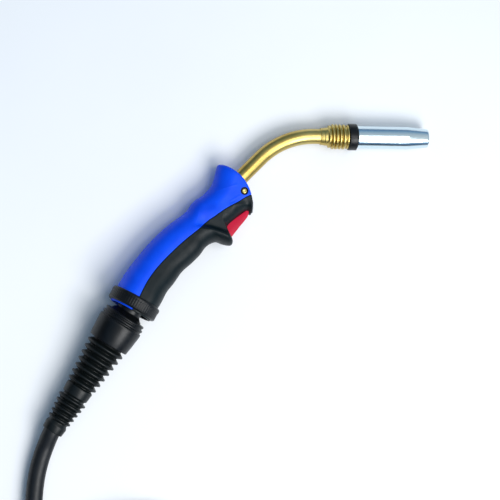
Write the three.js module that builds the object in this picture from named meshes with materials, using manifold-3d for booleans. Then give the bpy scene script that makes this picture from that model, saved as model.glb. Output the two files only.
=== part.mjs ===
// A MIG welding torch lying on its side, with its coaxial cable coiled beside it and its machine-end plug.
//
// World frame: millimetres, +Z up, the torch rests on Z = 0, +X runs along the gas nozzle to its tip, and
// the origin is under the middle of the torch. The torch is designed in its own plane (x along the nozzle,
// y across it towards the back of the handle, z out of the side): it starts where the neck's bend meets
// the head. That plane leans on the surface by REST_TILT.

import * as THREE from "three";
import { mergeVertices } from "three/addons/utils/BufferGeometryUtils.js";
import Module from "manifold-3d";

const wasm = await Module();
wasm.setup();

// ---------------------------------------------------------------- driving dimensions (mm, degrees)
const GAP = 0.3; // clearance between neighbouring pieces
const SHORTEST_EDGE = 0.02; // cut solids keep no edge shorter than this
const FACET_SLACK = 0.9; // clearance between round faces that turn against each other
const DEG = Math.PI / 180;

const TORCH_PLACE = new THREE.Vector3(80.7, 151, 14.15); // the torch frame's origin in the world
const REST_TILT = 4.3 * DEG;

const NECK = { bend: 83, angle: 45 * DEG, outer: 8, wall: 1.6, rear: 78 };
const HEAD = { start: 5.5, finPitch: 3.85, firstFin: 15, fins: 6, finRadius: 13.2, rootRadius: 9.8 };
const RING = { start: 35.6, end: 44.4, radius: 14.1 };
const NOZZLE = { start: 45, taper: 98, end: 121.9, radius: 12, bore: 10.75, tip: 9.7, tipBore: 8.2 };

const SHELL = { skin: 1.6, wall: 3.8 }; // soft grip over hard shell, and both together
const BALL = { x: -189, y: -173, radius: 17.5, seat: 19.6 };
const HANDLE_AXIS = 60.5 * DEG; // direction of the handle's rear end in the torch plane
const SUPPORT_AXIS = 58.3 * DEG; // direction of the cable support in the world
const SUPPORT_DROP = 3.4 * DEG; // its fall towards the cable
const COLLAR = { start: -1.5, end: 12, bore: 23.3, radius: 27.2 };
const SPIGOT = { radius: 23, root: 21.1, end: 13.4 };

const TRIGGER = { x: -70.5, y: -78, slope: 38.3 * DEG, halfWidth: 7, slot: 7.4 };
const SCREW = { x: -78.2, y: -60.3, boss: 3.3, hole: 1.8, recess: 4.2 };

const CABLE = { radius: 9, sides: 10, pitch: 18.2 };
const COIL = { x: -93.6, y: -366, floor: 1.7, mid: 99.2 };
const PLUG = { x: 38, y: -474.3, z: 25.2 };
const PLUG_SCREW = 90; // where along the plug its two screws stand
const CONTACT = { offset: 11, radius: 1.6, hole: 1.9, start: 115.5, end: 124 };

// ---------------------------------------------------------------- materials
const paint = (color, roughness, metalness = 0) => () =>
  new THREE.MeshStandardMaterial({ color, roughness, metalness });

const MATERIAL = {
  blue: paint(0x1440e0, 0.4),
  grip: paint(0x23292c, 0.7),
  black: paint(0x15181b, 0.5),
  rubber: paint(0x14171a, 0.65),
  red: paint(0xd81b45, 0.4),
  brass: paint(0xbfae5a, 0.3, 1),
  chrome: paint(0xd5dde2, 0.12, 1),
  steel: paint(0x9a9da0, 0.35, 1),
  copper: paint(0xb8734a, 0.35, 1),
  ceramic: paint(0xe9e4d8, 0.6),
  fibre: paint(0xd9cdb0, 0.7),
  lead: paint(0xb02a2a, 0.5),
};

// ---------------------------------------------------------------- solids
function outward(geometry) {
  const p = geometry.attributes.position;
  const index = geometry.index.array;
  const [a, b, c] = [new THREE.Vector3(), new THREE.Vector3(), new THREE.Vector3()];
  let volume = 0;
  for (let i = 0; i < index.length; i += 3) {
    a.fromBufferAttribute(p, index[i]);
    b.fromBufferAttribute(p, index[i + 1]);
    c.fromBufferAttribute(p, index[i + 2]);
    volume += a.dot(b.cross(c));
  }
  if (volume < 0) {
    for (let i = 0; i < index.length; i += 3) [index[i], index[i + 1]] = [index[i + 1], index[i]];
  }
  return geometry;
}

// One closed mesh with shared corners and without the empty triangles at poles.
function welded(geometry) {
  const bare = geometry.clone();
  bare.deleteAttribute("normal");
  bare.deleteAttribute("uv");
  const merged = mergeVertices(bare, 1e-4);
  const index = merged.index.array;
  const kept = [];
  for (let i = 0; i < index.length; i += 3) {
    const [a, b, c] = [index[i], index[i + 1], index[i + 2]];
    if (a !== b && b !== c && c !== a) kept.push(a, b, c);
  }
  merged.setIndex(kept);
  return outward(merged);
}

function solid(geometry) {
  const mesh = welded(geometry);
  return new wasm.Manifold(
    new wasm.Mesh({
      numProp: 3,
      vertProperties: new Float32Array(mesh.attributes.position.array),
      triVerts: new Uint32Array(mesh.index.array),
    }),
  );
}

// The largest body of a cut solid, without the slivers that near-touching faces leave.
const mainBody = (manifold) =>
  manifold.decompose().reduce((best, body) => (body.volume() > best.volume() ? body : best));

function geometryOf(manifold) {
  const mesh = mainBody(manifold.simplify(SHORTEST_EDGE)).getMesh();
  const geometry = new THREE.BufferGeometry();
  geometry.setAttribute("position", new THREE.BufferAttribute(mesh.vertProperties, 3));
  geometry.setIndex(new THREE.BufferAttribute(mesh.triVerts, 1));
  geometry.computeVertexNormals();
  return geometry;
}

function piece(name, shape, material, parent) {
  const geometry = shape.isBufferGeometry ? shape : geometryOf(shape);
  const mesh = new THREE.Mesh(geometry, material());
  mesh.name = name;
  parent.add(mesh);
  return mesh;
}

// A solid of revolution about local X, from [x, radius] pairs. A profile that doesn't touch the axis
// closes on itself.
function turned(profile, sides = 16) {
  const points = profile.map(([x, r]) => new THREE.Vector2(r, x));
  const onAxis = points[0].x === 0 && points.at(-1).x === 0;
  if (!onAxis) points.push(points[0].clone());
  const area = points.reduce((sum, p, i) => {
    const q = points[(i + 1) % points.length];
    return sum + p.x * q.y - q.x * p.y;
  }, 0);
  if (area < 0) points.reverse();
  return new THREE.LatheGeometry(points, sides).rotateZ(-Math.PI / 2);
}

const rod = (x0, x1, radius, sides = 16) =>
  turned([[x0, 0], [x0, radius], [x1, radius], [x1, 0]], sides);

const pipe = (x0, x1, outer, inner, sides = 16) =>
  turned([[x0, outer], [x1, outer], [x1, inner], [x0, inner]], sides);

// A flat outline in the local XY plane, from z0 up to z1.
function prism(outline, z0, z1) {
  const shape = new THREE.Shape(outline.map(([x, y]) => new THREE.Vector2(x, y)));
  return new THREE.ExtrudeGeometry(shape, { depth: z1 - z0, bevelEnabled: false }).translate(0, 0, z0);
}

function polygonRod(x0, x1, acrossCorners, sides = 6) {
  return rod(x0, x1, acrossCorners / 2, sides);
}

function along(curve, radius, steps, sides, bore = 0) {
  const circle = (r) =>
    Array.from({ length: sides }, (_, i) => {
      const turn = (i / sides) * 2 * Math.PI;
      return new THREE.Vector2(r * Math.cos(turn), r * Math.sin(turn));
    });
  const section = new THREE.Shape(circle(radius));
  if (bore > 0) section.holes.push(new THREE.Path(circle(bore)));
  return new THREE.ExtrudeGeometry(section, { steps, extrudePath: curve, bevelEnabled: false });
}

const smoothCurve = (points) =>
  new THREE.CatmullRomCurve3(points.map((p) => new THREE.Vector3(...p)), false, "centripetal");

class Helix extends THREE.Curve {
  constructor(radius, pitch, turns) {
    super();
    Object.assign(this, { radius, pitch, turns });
  }
  getPoint(t, target = new THREE.Vector3()) {
    const turn = 2 * Math.PI * this.turns * t;
    return target.set(
      this.pitch * this.turns * t,
      this.radius * Math.cos(turn),
      this.radius * Math.sin(turn),
    );
  }
}

// ---------------------------------------------------------------- frames
const scene = new THREE.Group();
scene.name = "mig_welding_torch";

const torch = new THREE.Group();
torch.position.copy(TORCH_PLACE);
torch.rotation.x = -REST_TILT;
scene.add(torch);

// A group whose local X runs along a direction in its parent's XY plane.
function pointed(parent, x, y, angle) {
  const group = new THREE.Group();
  group.position.set(x, y, 0);
  group.rotation.z = angle;
  parent.add(group);
  return group;
}

const neckEnd = {
  x: -NECK.bend * Math.sin(NECK.angle),
  y: -NECK.bend * (1 - Math.cos(NECK.angle)),
};
// Local X of neckRear runs back along the neck's straight leg into the handle.
const neckRear = pointed(torch, neckEnd.x, neckEnd.y, Math.PI + NECK.angle);
// Local X of handleRear runs back out of the handle from the ball joint's centre.
const handleRear = pointed(torch, BALL.x, BALL.y, Math.PI + HANDLE_AXIS);
// Local X of triggerFrame runs back along the trigger from its pin, and local Y out of the handle's belly.
const triggerFrame = pointed(torch, TRIGGER.x, TRIGGER.y, Math.PI + TRIGGER.slope);

torch.updateWorldMatrix(true, true);
const ballCentre = handleRear.getWorldPosition(new THREE.Vector3());

// Local X of support runs back along the cable support, its local Z stays uppermost.
const support = new THREE.Group();
support.position.copy(ballCentre);
const supportBack = new THREE.Vector3(
  -Math.cos(SUPPORT_AXIS) * Math.cos(SUPPORT_DROP),
  -Math.sin(SUPPORT_AXIS) * Math.cos(SUPPORT_DROP),
  -Math.sin(SUPPORT_DROP),
);
const supportSide = new THREE.Vector3(0, 0, 1).cross(supportBack).normalize();
support.setRotationFromMatrix(
  new THREE.Matrix4().makeBasis(supportBack, supportSide, supportBack.clone().cross(supportSide)),
);
scene.add(support);
support.updateWorldMatrix(true, false);

// Moves a geometry made in a child frame of the torch into the torch's own frame.
function inTorch(geometry, frame) {
  frame.updateMatrix();
  return geometry.applyMatrix4(frame.matrix);
}

// ---------------------------------------------------------------- neck and head
class NeckCurve extends THREE.Curve {
  constructor(front, rear) {
    super();
    this.front = front;
    this.rear = rear;
    this.arc = NECK.bend * NECK.angle;
  }
  getPoint(t, target = new THREE.Vector3()) {
    const s = this.front - t * (this.front + this.arc + this.rear);
    if (s >= 0) return target.set(s, 0, 0);
    const turn = Math.min(-s, this.arc) / NECK.bend;
    const past = Math.max(-s - this.arc, 0);
    return target.set(
      -NECK.bend * Math.sin(turn) - past * Math.cos(turn),
      -NECK.bend * (1 - Math.cos(turn)) - past * Math.sin(turn),
      0,
    );
  }
}

function makeNeck() {
  const steps = 13;
  const sides = 10;
  const inner = NECK.outer - NECK.wall;
  piece("neck_outer_tube", along(new NeckCurve(12, NECK.rear), NECK.outer, steps, sides, inner),
    MATERIAL.brass, torch);
  piece("neck_insulation", along(new NeckCurve(22, NECK.rear - 2), inner - GAP, steps, sides, 5.2),
    MATERIAL.fibre, torch);
  piece("neck_inner_tube", along(new NeckCurve(42.5, NECK.rear - 1), 4.9, steps, sides, 2.9),
    MATERIAL.copper, torch);
  piece("wire_liner", along(new NeckCurve(43, 125), 2.2, steps, 6), MATERIAL.steel, torch);
}

function makeHead() {
  const profile = [[HEAD.start, 8.3], [HEAD.start, 8.9], [9.5, 9.1], [10, HEAD.rootRadius - 0.2]];
  for (let i = 0; i < HEAD.fins; i++) {
    const x = HEAD.firstFin + i * HEAD.finPitch;
    const tip = i === 0 ? HEAD.finRadius - 1.3 : HEAD.finRadius;
    profile.push([x - 1.6, HEAD.rootRadius], [x - 0.9, tip], [x + 0.9, tip]);
  }
  const face = RING.start - GAP;
  profile.push([face, HEAD.finRadius - 0.4], [face, 8.3], [24, 8.3], [24, 6.6], [12.4, 6.6], [12.4, 8.3]);
  piece("finned_head", turned(profile, 16), MATERIAL.brass, torch);

  piece("insulator_ring", turned([
    [RING.start, 8.3], [RING.start, RING.radius - 0.9], [RING.start + 0.9, RING.radius],
    [RING.end - 0.9, RING.radius], [RING.end, RING.radius - 0.9], [RING.end, 8.3],
  ]), MATERIAL.black, torch);

  piece("nozzle_seat", turned([
    [24.3, 5.3], [24.3, 8], [RING.end + GAP, 8], [RING.end + GAP, 10.4], [49, 10.4], [49, 9],
    [54.5, 9], [54.5, 10.4], [59, 9.8], [59, 5.3],
  ]), MATERIAL.brass, torch);

  const springWire = along(new Helix(9.85, 1.7, 2.5), 0.5, 32, 5).translate(49.7, 0, 0);
  piece("nozzle_spring", springWire, MATERIAL.steel, torch);

  piece("tip_holder", turned([
    [43.7, 2.6], [43.7, 4.9], [59.3, 4.9], [59.3, 6.2], [65.5, 6.2], [65.5, 5.3], [78, 5.3],
    [78, 3.4], [69.5, 3.4], [69.5, 2.6],
  ], 18), MATERIAL.brass, torch);

  let diffuser = solid(pipe(66, 79.5, 8.8, 5.7));
  const ports = 6;
  for (let i = 0; i < ports; i++) {
    const port = rod(5, 10, 0.9, 8).rotateZ(Math.PI / 2).rotateX((i / ports) * 2 * Math.PI);
    diffuser = diffuser.subtract(solid(port.translate(73, 0, 0)));
  }
  piece("gas_diffuser", diffuser, MATERIAL.ceramic, torch);

  piece("contact_tip", turned([
    [69.9, 0.7], [69.9, 3.1], [78.3, 3.1], [78.3, 4], [112, 4], [118, 2.6], [118, 0.7],
  ], 16), MATERIAL.copper, torch);

  piece("gas_nozzle", turned([
    [NOZZLE.start, NOZZLE.bore], [NOZZLE.start, NOZZLE.radius - 0.3], [NOZZLE.start + 0.5, NOZZLE.radius],
    [NOZZLE.taper, NOZZLE.radius], [NOZZLE.end - 1, NOZZLE.tip + 0.1], [NOZZLE.end, NOZZLE.tip - 0.7],
    [NOZZLE.end, NOZZLE.tipBore], [NOZZLE.taper + 6, NOZZLE.bore],
  ], 24), MATERIAL.chrome, torch);
}

function makeNeckFittings() {
  piece("neck_nut", solid(polygonRod(66, 79.5, 20)).subtract(solid(rod(60, 90, 8.3, 18))),
    MATERIAL.brass, neckRear);
  piece("cable_fitting", turned([
    [80, 2.6], [80, 7], [88, 7], [88, 9.8], [94, 9.8], [94, 9.2], [126, 9.2], [126, 2.6],
  ]), MATERIAL.brass, neckRear);
}

// ---------------------------------------------------------------- handle
// Each station is a cut across the handle: its point on the back, its point on the belly, how far the
// cut bulges forward, its half width, how far down from the back the blue shell meets the black grip,
// and how much of the belly end is solid (the finger guard and the hood's beak).
const STATIONS = [
  { back: [-209.1, -159.8], belly: [-167.3, -183.4], bulge: 0, half: 24, seam: 23.4, web: 0 },
  { back: [-204.8, -152.9], belly: [-162.9, -176.3], bulge: 0, half: 23.6, seam: 22.5, web: 0 },
  { back: [-198.8, -143.3], belly: [-157.4, -165.7], bulge: 0, half: 22.4, seam: 22.0, web: 0 },
  { back: [-188.7, -130.1], belly: [-150.2, -156.7], bulge: 0, half: 20.8, seam: 21.4, web: 0 },
  { back: [-176.7, -115.7], belly: [-141.5, -144.5], bulge: 0, half: 19.6, seam: 22.1, web: 0 },
  { back: [-162.3, -101.3], belly: [-131.0, -135.1], bulge: 0, half: 19, seam: 22.3, web: 0 },
  { back: [-150.3, -91.5], belly: [-123.0, -127.0], bulge: 0, half: 18.6, seam: 21.9, web: 0 },
  { back: [-142.5, -86.0], belly: [-117.5, -119.5], bulge: 0, half: 18.4, seam: 21.3, web: 0 },
  { back: [-137.2, -81.5], belly: [-112.0, -115.2], bulge: 0, half: 18.3, seam: 21.4, web: 2 },
  { back: [-132.5, -74.5], belly: [-105.5, -113.2], bulge: 0, half: 18.2, seam: 23.6, web: 7 },
  { back: [-127.5, -69.3], belly: [-98.5, -115.5], bulge: 0, half: 18.1, seam: 24.6, web: 13 },
  { back: [-122.5, -66.3], belly: [-91.0, -116.6], bulge: 0, half: 18, seam: 24.4, web: 17 },
  { back: [-119.8, -64.3], belly: [-88.3, -113.6], bulge: 0, half: 18, seam: 24.3, web: 16.5 },
  { back: [-117.8, -62.4], belly: [-90.3, -108.5], bulge: 0, half: 18, seam: 24.6, web: 10 },
  { back: [-115.6, -60.3], belly: [-95.3, -101.8], bulge: 0, half: 18, seam: 25.3, web: 1 },
  { back: [-112.5, -56.5], belly: [-93.0, -97.2], bulge: 1, half: 18, seam: 26.6, web: 0 },
  { back: [-109.5, -51.5], belly: [-86.8, -90.8], bulge: 3, half: 17.9, seam: 29.2, web: 0 },
  { back: [-107.4, -45.0], belly: [-80.0, -85.0], bulge: 6, half: 17.8, seam: 34.7, web: 0 },
  { back: [-105.8, -38.0], belly: [-75.0, -81.8], bulge: 8.5, half: 17.6, seam: 40.0, web: 1 },
  { back: [-104.2, -33.0], belly: [-71.5, -83.0], bulge: 10.5, half: 17.4, seam: 43.5, web: 3 },
  { back: [-100.8, -30.9], belly: [-69.0, -85.8], bulge: 11.5, half: 17.2, seam: 43.6, web: 4 },
];
const ROUNDING = { back: 19, belly: 17, flat: 1, steps: 3 };

// A point of a station's cut: depth is measured from the back along the chord.
function cutPoint(station, depth, z) {
  const back = new THREE.Vector2(...station.back);
  const belly = new THREE.Vector2(...station.belly);
  const chord = back.distanceTo(belly);
  const down = belly.clone().sub(back).divideScalar(chord);
  const ahead = new THREE.Vector2(-down.y, down.x);
  const middle = (2 * depth) / chord - 1;
  const point = back.addScaledVector(down, depth).addScaledVector(ahead, station.bulge * (1 - middle ** 2));
  return new THREE.Vector3(point.x, point.y, z);
}

// A station moved back along the handle.
function setBack(station, distance) {
  const [ax, ay] = station.back;
  const [bx, by] = station.belly;
  const chord = Math.hypot(bx - ax, by - ay);
  const [dx, dy] = [((by - ay) / chord) * distance, (-(bx - ax) / chord) * distance];
  return { ...station, back: [ax + dx, ay + dy], belly: [bx + dx, by + dy] };
}

// The closed ring of a station's cut, drawn in by an inset, from the back down one side and up the other.
function stationRing(station, inset, useWeb) {
  const chord = new THREE.Vector2(...station.back).distanceTo(new THREE.Vector2(...station.belly));
  const start = inset;
  const end = chord - inset - (useWeb ? station.web + inset / 4 : 0);
  const half = station.half - inset;
  const scale = Math.min(1, (end - start - ROUNDING.flat) / (ROUNDING.back + ROUNDING.belly));
  const side = [];
  for (let i = 0; i <= ROUNDING.steps; i++) {
    const turn = (i / ROUNDING.steps) * (Math.PI / 2);
    side.push([start + ROUNDING.back * scale * (1 - Math.cos(turn)), half * Math.sin(turn)]);
  }
  for (let i = ROUNDING.steps; i >= 0; i--) {
    const turn = (i / ROUNDING.steps) * (Math.PI / 2);
    side.push([end - ROUNDING.belly * scale * (1 - Math.cos(turn)), half * Math.sin(turn)]);
  }
  const left = side.map(([depth, z]) => cutPoint(station, depth, z));
  const right = side.slice(1, -1).reverse().map(([depth, z]) => cutPoint(station, depth, -z));
  return [...left, ...right];
}

// A closed skin over rings of equal length, its ends closed by strips across their width.
function loft(rings) {
  const count = rings[0].length;
  const positions = rings.flat().flatMap((p) => [p.x, p.y, p.z]);
  const index = [];
  for (let r = 0; r < rings.length - 1; r++) {
    for (let i = 0; i < count; i++) {
      const [a, b] = [r * count + i, r * count + ((i + 1) % count)];
      index.push(a, b, b + count, a, b + count, a + count);
    }
  }
  const close = (base, flip) => {
    for (let i = 0; i < count / 2; i++) {
      const [a, b] = [base + i, base + i + 1];
      const [c, d] = [base + ((count - i - 1) % count), base + ((count - i) % count)];
      index.push(...(flip ? [a, c, b, a, d, c] : [a, b, c, a, c, d]));
    }
  };
  close(0, true);
  close((rings.length - 1) * count, false);
  const geometry = new THREE.BufferGeometry();
  geometry.setAttribute("position", new THREE.Float32BufferAttribute(positions, 3));
  geometry.setIndex(index);
  return geometry;
}

// The handle's body drawn in by an inset all round, its nose face too.
function handleBody(inset, useWeb) {
  const rings = STATIONS.map((station, i) => {
    const isNose = i === STATIONS.length - 1;
    return stationRing(isNose ? setBack(station, inset) : station, inset, useWeb);
  });
  return solid(loft(rings));
}

// The area below the seam line, moved down by a gap.
function bellyRegion(shift) {
  const line = STATIONS.map((station) => {
    const p = cutPoint(station, station.seam + shift, 0);
    return [p.x, p.y];
  });
  const beyondRear = [-200, -192.5 - shift];
  const beyondNose = [-45, -48 - shift];
  return [beyondRear, ...line, beyondNose, [-20, -60], [-20, -220], [-195, -220]];
}

// The trigger's slot, in the trigger's own frame.
const SLOT = [[-4, 4], [-4, -7.3], [37, -7.3], [37, 17], [5.6, 11], [5.6, 4]];

function makeHandleShells() {
  const tall = 40;
  const outer = handleBody(0, false);
  const core = handleBody(SHELL.skin + 3 * GAP, true);
  const gripFloor = handleBody(SHELL.skin, true);
  const hollow = handleBody(SHELL.wall, true);
  const belly = solid(prism(bellyRegion(GAP), -tall, tall));
  const bellyAndGap = solid(prism(bellyRegion(0), -tall, tall));

  const step = COLLAR.start - GAP;
  const spigot = solid(inTorch(turned([
    [step - 5, 0], [step - 5, SPIGOT.root], [step + 0.1, SPIGOT.root], [step + 0.1, SPIGOT.radius],
    [SPIGOT.end, SPIGOT.radius], [SPIGOT.end, 0],
  ], 24), handleRear));
  const shoulder = solid(inTorch(rod(step, 60, 60, 8), handleRear));
  const socket = solid(inTorch(
    new THREE.SphereGeometry(BALL.seat + FACET_SLACK, 20, 10).rotateZ(Math.PI / 2), handleRear));
  const mouth = solid(inTorch(turned([
    [-14, 0], [-14, 17], [0, 19.6], [8, 18.9], [SPIGOT.end + 1, 22], [SPIGOT.end + 1, 0],
  ], 20), handleRear));
  const neckHole = solid(inTorch(rod(10, 60, NECK.outer + 0.4, 20), neckRear));
  const slot = solid(inTorch(prism(SLOT, -TRIGGER.slot, TRIGGER.slot), triggerFrame));
  const pinHole = solid(new THREE.CylinderGeometry(1.55, 1.55, 24, 12).rotateX(Math.PI / 2)
    .translate(TRIGGER.x, TRIGGER.y, 0));

  const boss = solid(new THREE.CylinderGeometry(SCREW.boss, SCREW.boss, 32, 14).rotateX(Math.PI / 2)
    .translate(SCREW.x, SCREW.y, 0));
  const screwHole = solid(new THREE.CylinderGeometry(SCREW.hole, SCREW.hole, 27, 12)
    .rotateX(Math.PI / 2).translate(SCREW.x, SCREW.y, 5));
  const recess = solid(new THREE.CylinderGeometry(SCREW.recess, SCREW.recess, 10, 20)
    .rotateX(Math.PI / 2).translate(SCREW.x, SCREW.y, 21));

  const blue = outer.subtract(shoulder).subtract(bellyAndGap);
  const openings = [socket, mouth, neckHole, slot, pinHole, screwHole, recess];
  const grip = openings.reduce((s, cut) => s.subtract(cut),
    outer.subtract(shoulder).intersect(belly).subtract(gripFloor));
  const shell = openings.reduce((s, cut) => s.subtract(cut),
    blue.add(core.subtract(shoulder)).add(spigot).subtract(hollow).add(boss));

  const halfSpace = (sign) => {
    const box = new THREE.BoxGeometry(400, 400, tall);
    return solid(box.translate(-100, -100, sign * (tall / 2 + GAP / 2)));
  };
  piece("shell_left", shell.intersect(halfSpace(1)), MATERIAL.blue, torch);
  piece("shell_right", shell.intersect(halfSpace(-1)), MATERIAL.blue, torch);
  piece("grip_left", grip.intersect(halfSpace(1)), MATERIAL.grip, torch);
  piece("grip_right", grip.intersect(halfSpace(-1)), MATERIAL.grip, torch);
}

function makeHandleScrew() {
  const screw = solid(new THREE.CylinderGeometry(1.5, 1.5, 24, 12).rotateX(Math.PI / 2).translate(0, 0, 4.8))
    .add(solid(new THREE.CylinderGeometry(2.8, 2.8, 1.8, 16).rotateX(Math.PI / 2).translate(0, 0, 17.2)))
    .subtract(solid(polygonRod(17.2, 19, 2.9).rotateY(-Math.PI / 2)));
  const mesh = piece("handle_screw", screw, MATERIAL.brass, torch);
  mesh.position.set(SCREW.x, SCREW.y, 0);
}

function makeTrigger() {
  // Local x runs back from the pin and local y out of the handle, towards the finger.
  const outline = [
    [3.4, -1.6], [33.2, -2.6], [34.6, 2.5], [34.4, 11.6], [20, 7.9], [8.2, 5.2], [6.6, 4.4], [3.2, 1.8],
  ];
  const trigger = solid(prism(outline, -TRIGGER.halfWidth, TRIGGER.halfWidth))
    .add(solid(new THREE.CylinderGeometry(3.4, 3.4, 2 * TRIGGER.halfWidth, 18).rotateX(Math.PI / 2)))
    .subtract(solid(new THREE.CylinderGeometry(1.55, 1.55, 40, 12).rotateX(Math.PI / 2)));
  piece("trigger", trigger, MATERIAL.red, triggerFrame);
  piece("trigger_pin", new THREE.CylinderGeometry(1.25, 1.25, 22, 12).rotateX(Math.PI / 2),
    MATERIAL.steel, triggerFrame);

  const box = solid(new THREE.BoxGeometry(20, 8, 6.4).translate(20, -11.6, 0));
  const well = solid(new THREE.CylinderGeometry(1.45, 1.45, 8, 12).translate(18, -8, 0));
  piece("switch_body", box.subtract(well), MATERIAL.black, triggerFrame);
  piece("switch_plunger", new THREE.CylinderGeometry(1.1, 1.1, 5.6, 10).translate(18, -5.1, 0),
    MATERIAL.red, triggerFrame);

  const spring = along(new Helix(1.9, 1.05, 4), 0.3, 32, 4).rotateZ(-Math.PI / 2).translate(27, -2.95, 0);
  piece("trigger_spring", spring, MATERIAL.steel, triggerFrame);
}

function makeControlLeads() {
  for (const [name, z] of [["control_lead_a", 2], ["control_lead_b", -2]]) {
    const route = smoothCurve([
      [-103.4, -88.6, z], [-110, -96, z], [-118, -105, z], [-130, -118, z], [-144, -133, z],
      [-157, -148, z],
    ]);
    piece(name, along(route, 0.9, 10, 8), MATERIAL.lead, torch);
  }
}

function makeHandleRear() {
  const cableEnd = smoothCurve([
    [-148.5, -114.1, 0], [-156, -121.8, 0], [-164, -131, 0], [-172.5, -143, 0], [-179.5, -155, 0],
    [-184.9, -165.6, 0],
  ]);
  piece("handle_cable", along(cableEnd, 8.4, 8, 12), MATERIAL.rubber, torch);

  const seatWidth = 9;
  const zone = solid(new THREE.SphereGeometry(BALL.seat, 20, 10).rotateZ(Math.PI / 2))
    .subtract(solid(new THREE.SphereGeometry(BALL.radius + FACET_SLACK, 20, 10).rotateZ(Math.PI / 2)))
    .intersect(solid(rod(-seatWidth, seatWidth - 3, 40, 12)));
  piece("ball_seat", zone, MATERIAL.fibre, handleRear);

  const teeth = 26;
  const edge = COLLAR.radius - 0.5;
  const ribbed = Array.from({ length: teeth * 2 }, (_, i) => {
    const turn = (i / (teeth * 2)) * 2 * Math.PI;
    const r = i % 2 ? COLLAR.radius : edge;
    return [r * Math.cos(turn), r * Math.sin(turn)];
  });
  const body = solid(prism(ribbed, COLLAR.start, COLLAR.end).rotateY(Math.PI / 2));
  const envelope = solid(turned([
    [COLLAR.start, COLLAR.bore], [COLLAR.start, COLLAR.radius - 1], [COLLAR.start + 1.4, 30],
    [COLLAR.end - 3, 30], [COLLAR.end, COLLAR.radius - 1.8], [COLLAR.end, COLLAR.bore],
  ], 26));
  piece("locking_collar", body.intersect(envelope), MATERIAL.black, handleRear);
}

// ---------------------------------------------------------------- cable support and bend protector
const BOOT = { start: 59, pitch: 7.28, ribs: 7, tip: 21, tipEnd: 16.4, end: 162 };

function makeSupport() {
  const neckRadius = 13.3;
  const ball = [];
  for (let i = 0; i <= 5; i++) {
    const x = -11.5 + i * 4.55;
    ball.push([x, Math.sqrt(BALL.radius ** 2 - x ** 2)]);
  }
  piece("cable_support", turned([
    ...ball, [15.5, neckRadius], [19.5, 17.6], [20.5, 18.4],
    [20.7, 22.4], [22.3, 22.7], [23.2, 21.6], [24.8, 23.3], [26.8, 23.6], [28, 22.4],
    [29.4, 23.8], [32, 24], [44, 23], [54.5, 21.6],
    [54.5, 16], [40.5, 16], [40.5, 9.6], [0, 9.6], [-11.5, 12.4],
  ], 20), MATERIAL.black, support);

  const profile = [[41, 9.9], [41, 15.4], [55, 15.4], [55, 17.5]];
  for (let i = 0; i < BOOT.ribs; i++) {
    const x = BOOT.start + 1 + i * BOOT.pitch;
    const tip = BOOT.tip + ((BOOT.tipEnd - BOOT.tip) * i) / (BOOT.ribs - 1);
    profile.push([x - 3.2, tip - 4], [x - 0.8, tip], [x + 0.8, tip]);
  }
  profile.push([107.5, 14.8], [119, 14.1], [119.4, 12.4], [121, 12.4]);
  for (let i = 0; i < 5; i++) {
    const x = 123.5 + i * 6;
    const tip = 15.8 - i * 0.75;
    profile.push([x - 1, tip], [x + 1, tip], [x + 3, tip - 2.7]);
  }
  profile.push([154, 12], [BOOT.end, 11.2], [BOOT.end, 9.9]);
  piece("bend_protector", turned(profile, 14), MATERIAL.rubber, support);

  const core = along(new THREE.LineCurve3(new THREE.Vector3(4, 0, 0), new THREE.Vector3(136.7, 0, 0)),
    CABLE.radius, 1, CABLE.sides);
  piece("cable_core", core, MATERIAL.rubber, support);
}

// ---------------------------------------------------------------- cable, coil and ties
function supportPoint(x) {
  return new THREE.Vector3(x, 0, 0).applyMatrix4(support.matrixWorld).toArray();
}

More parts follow.
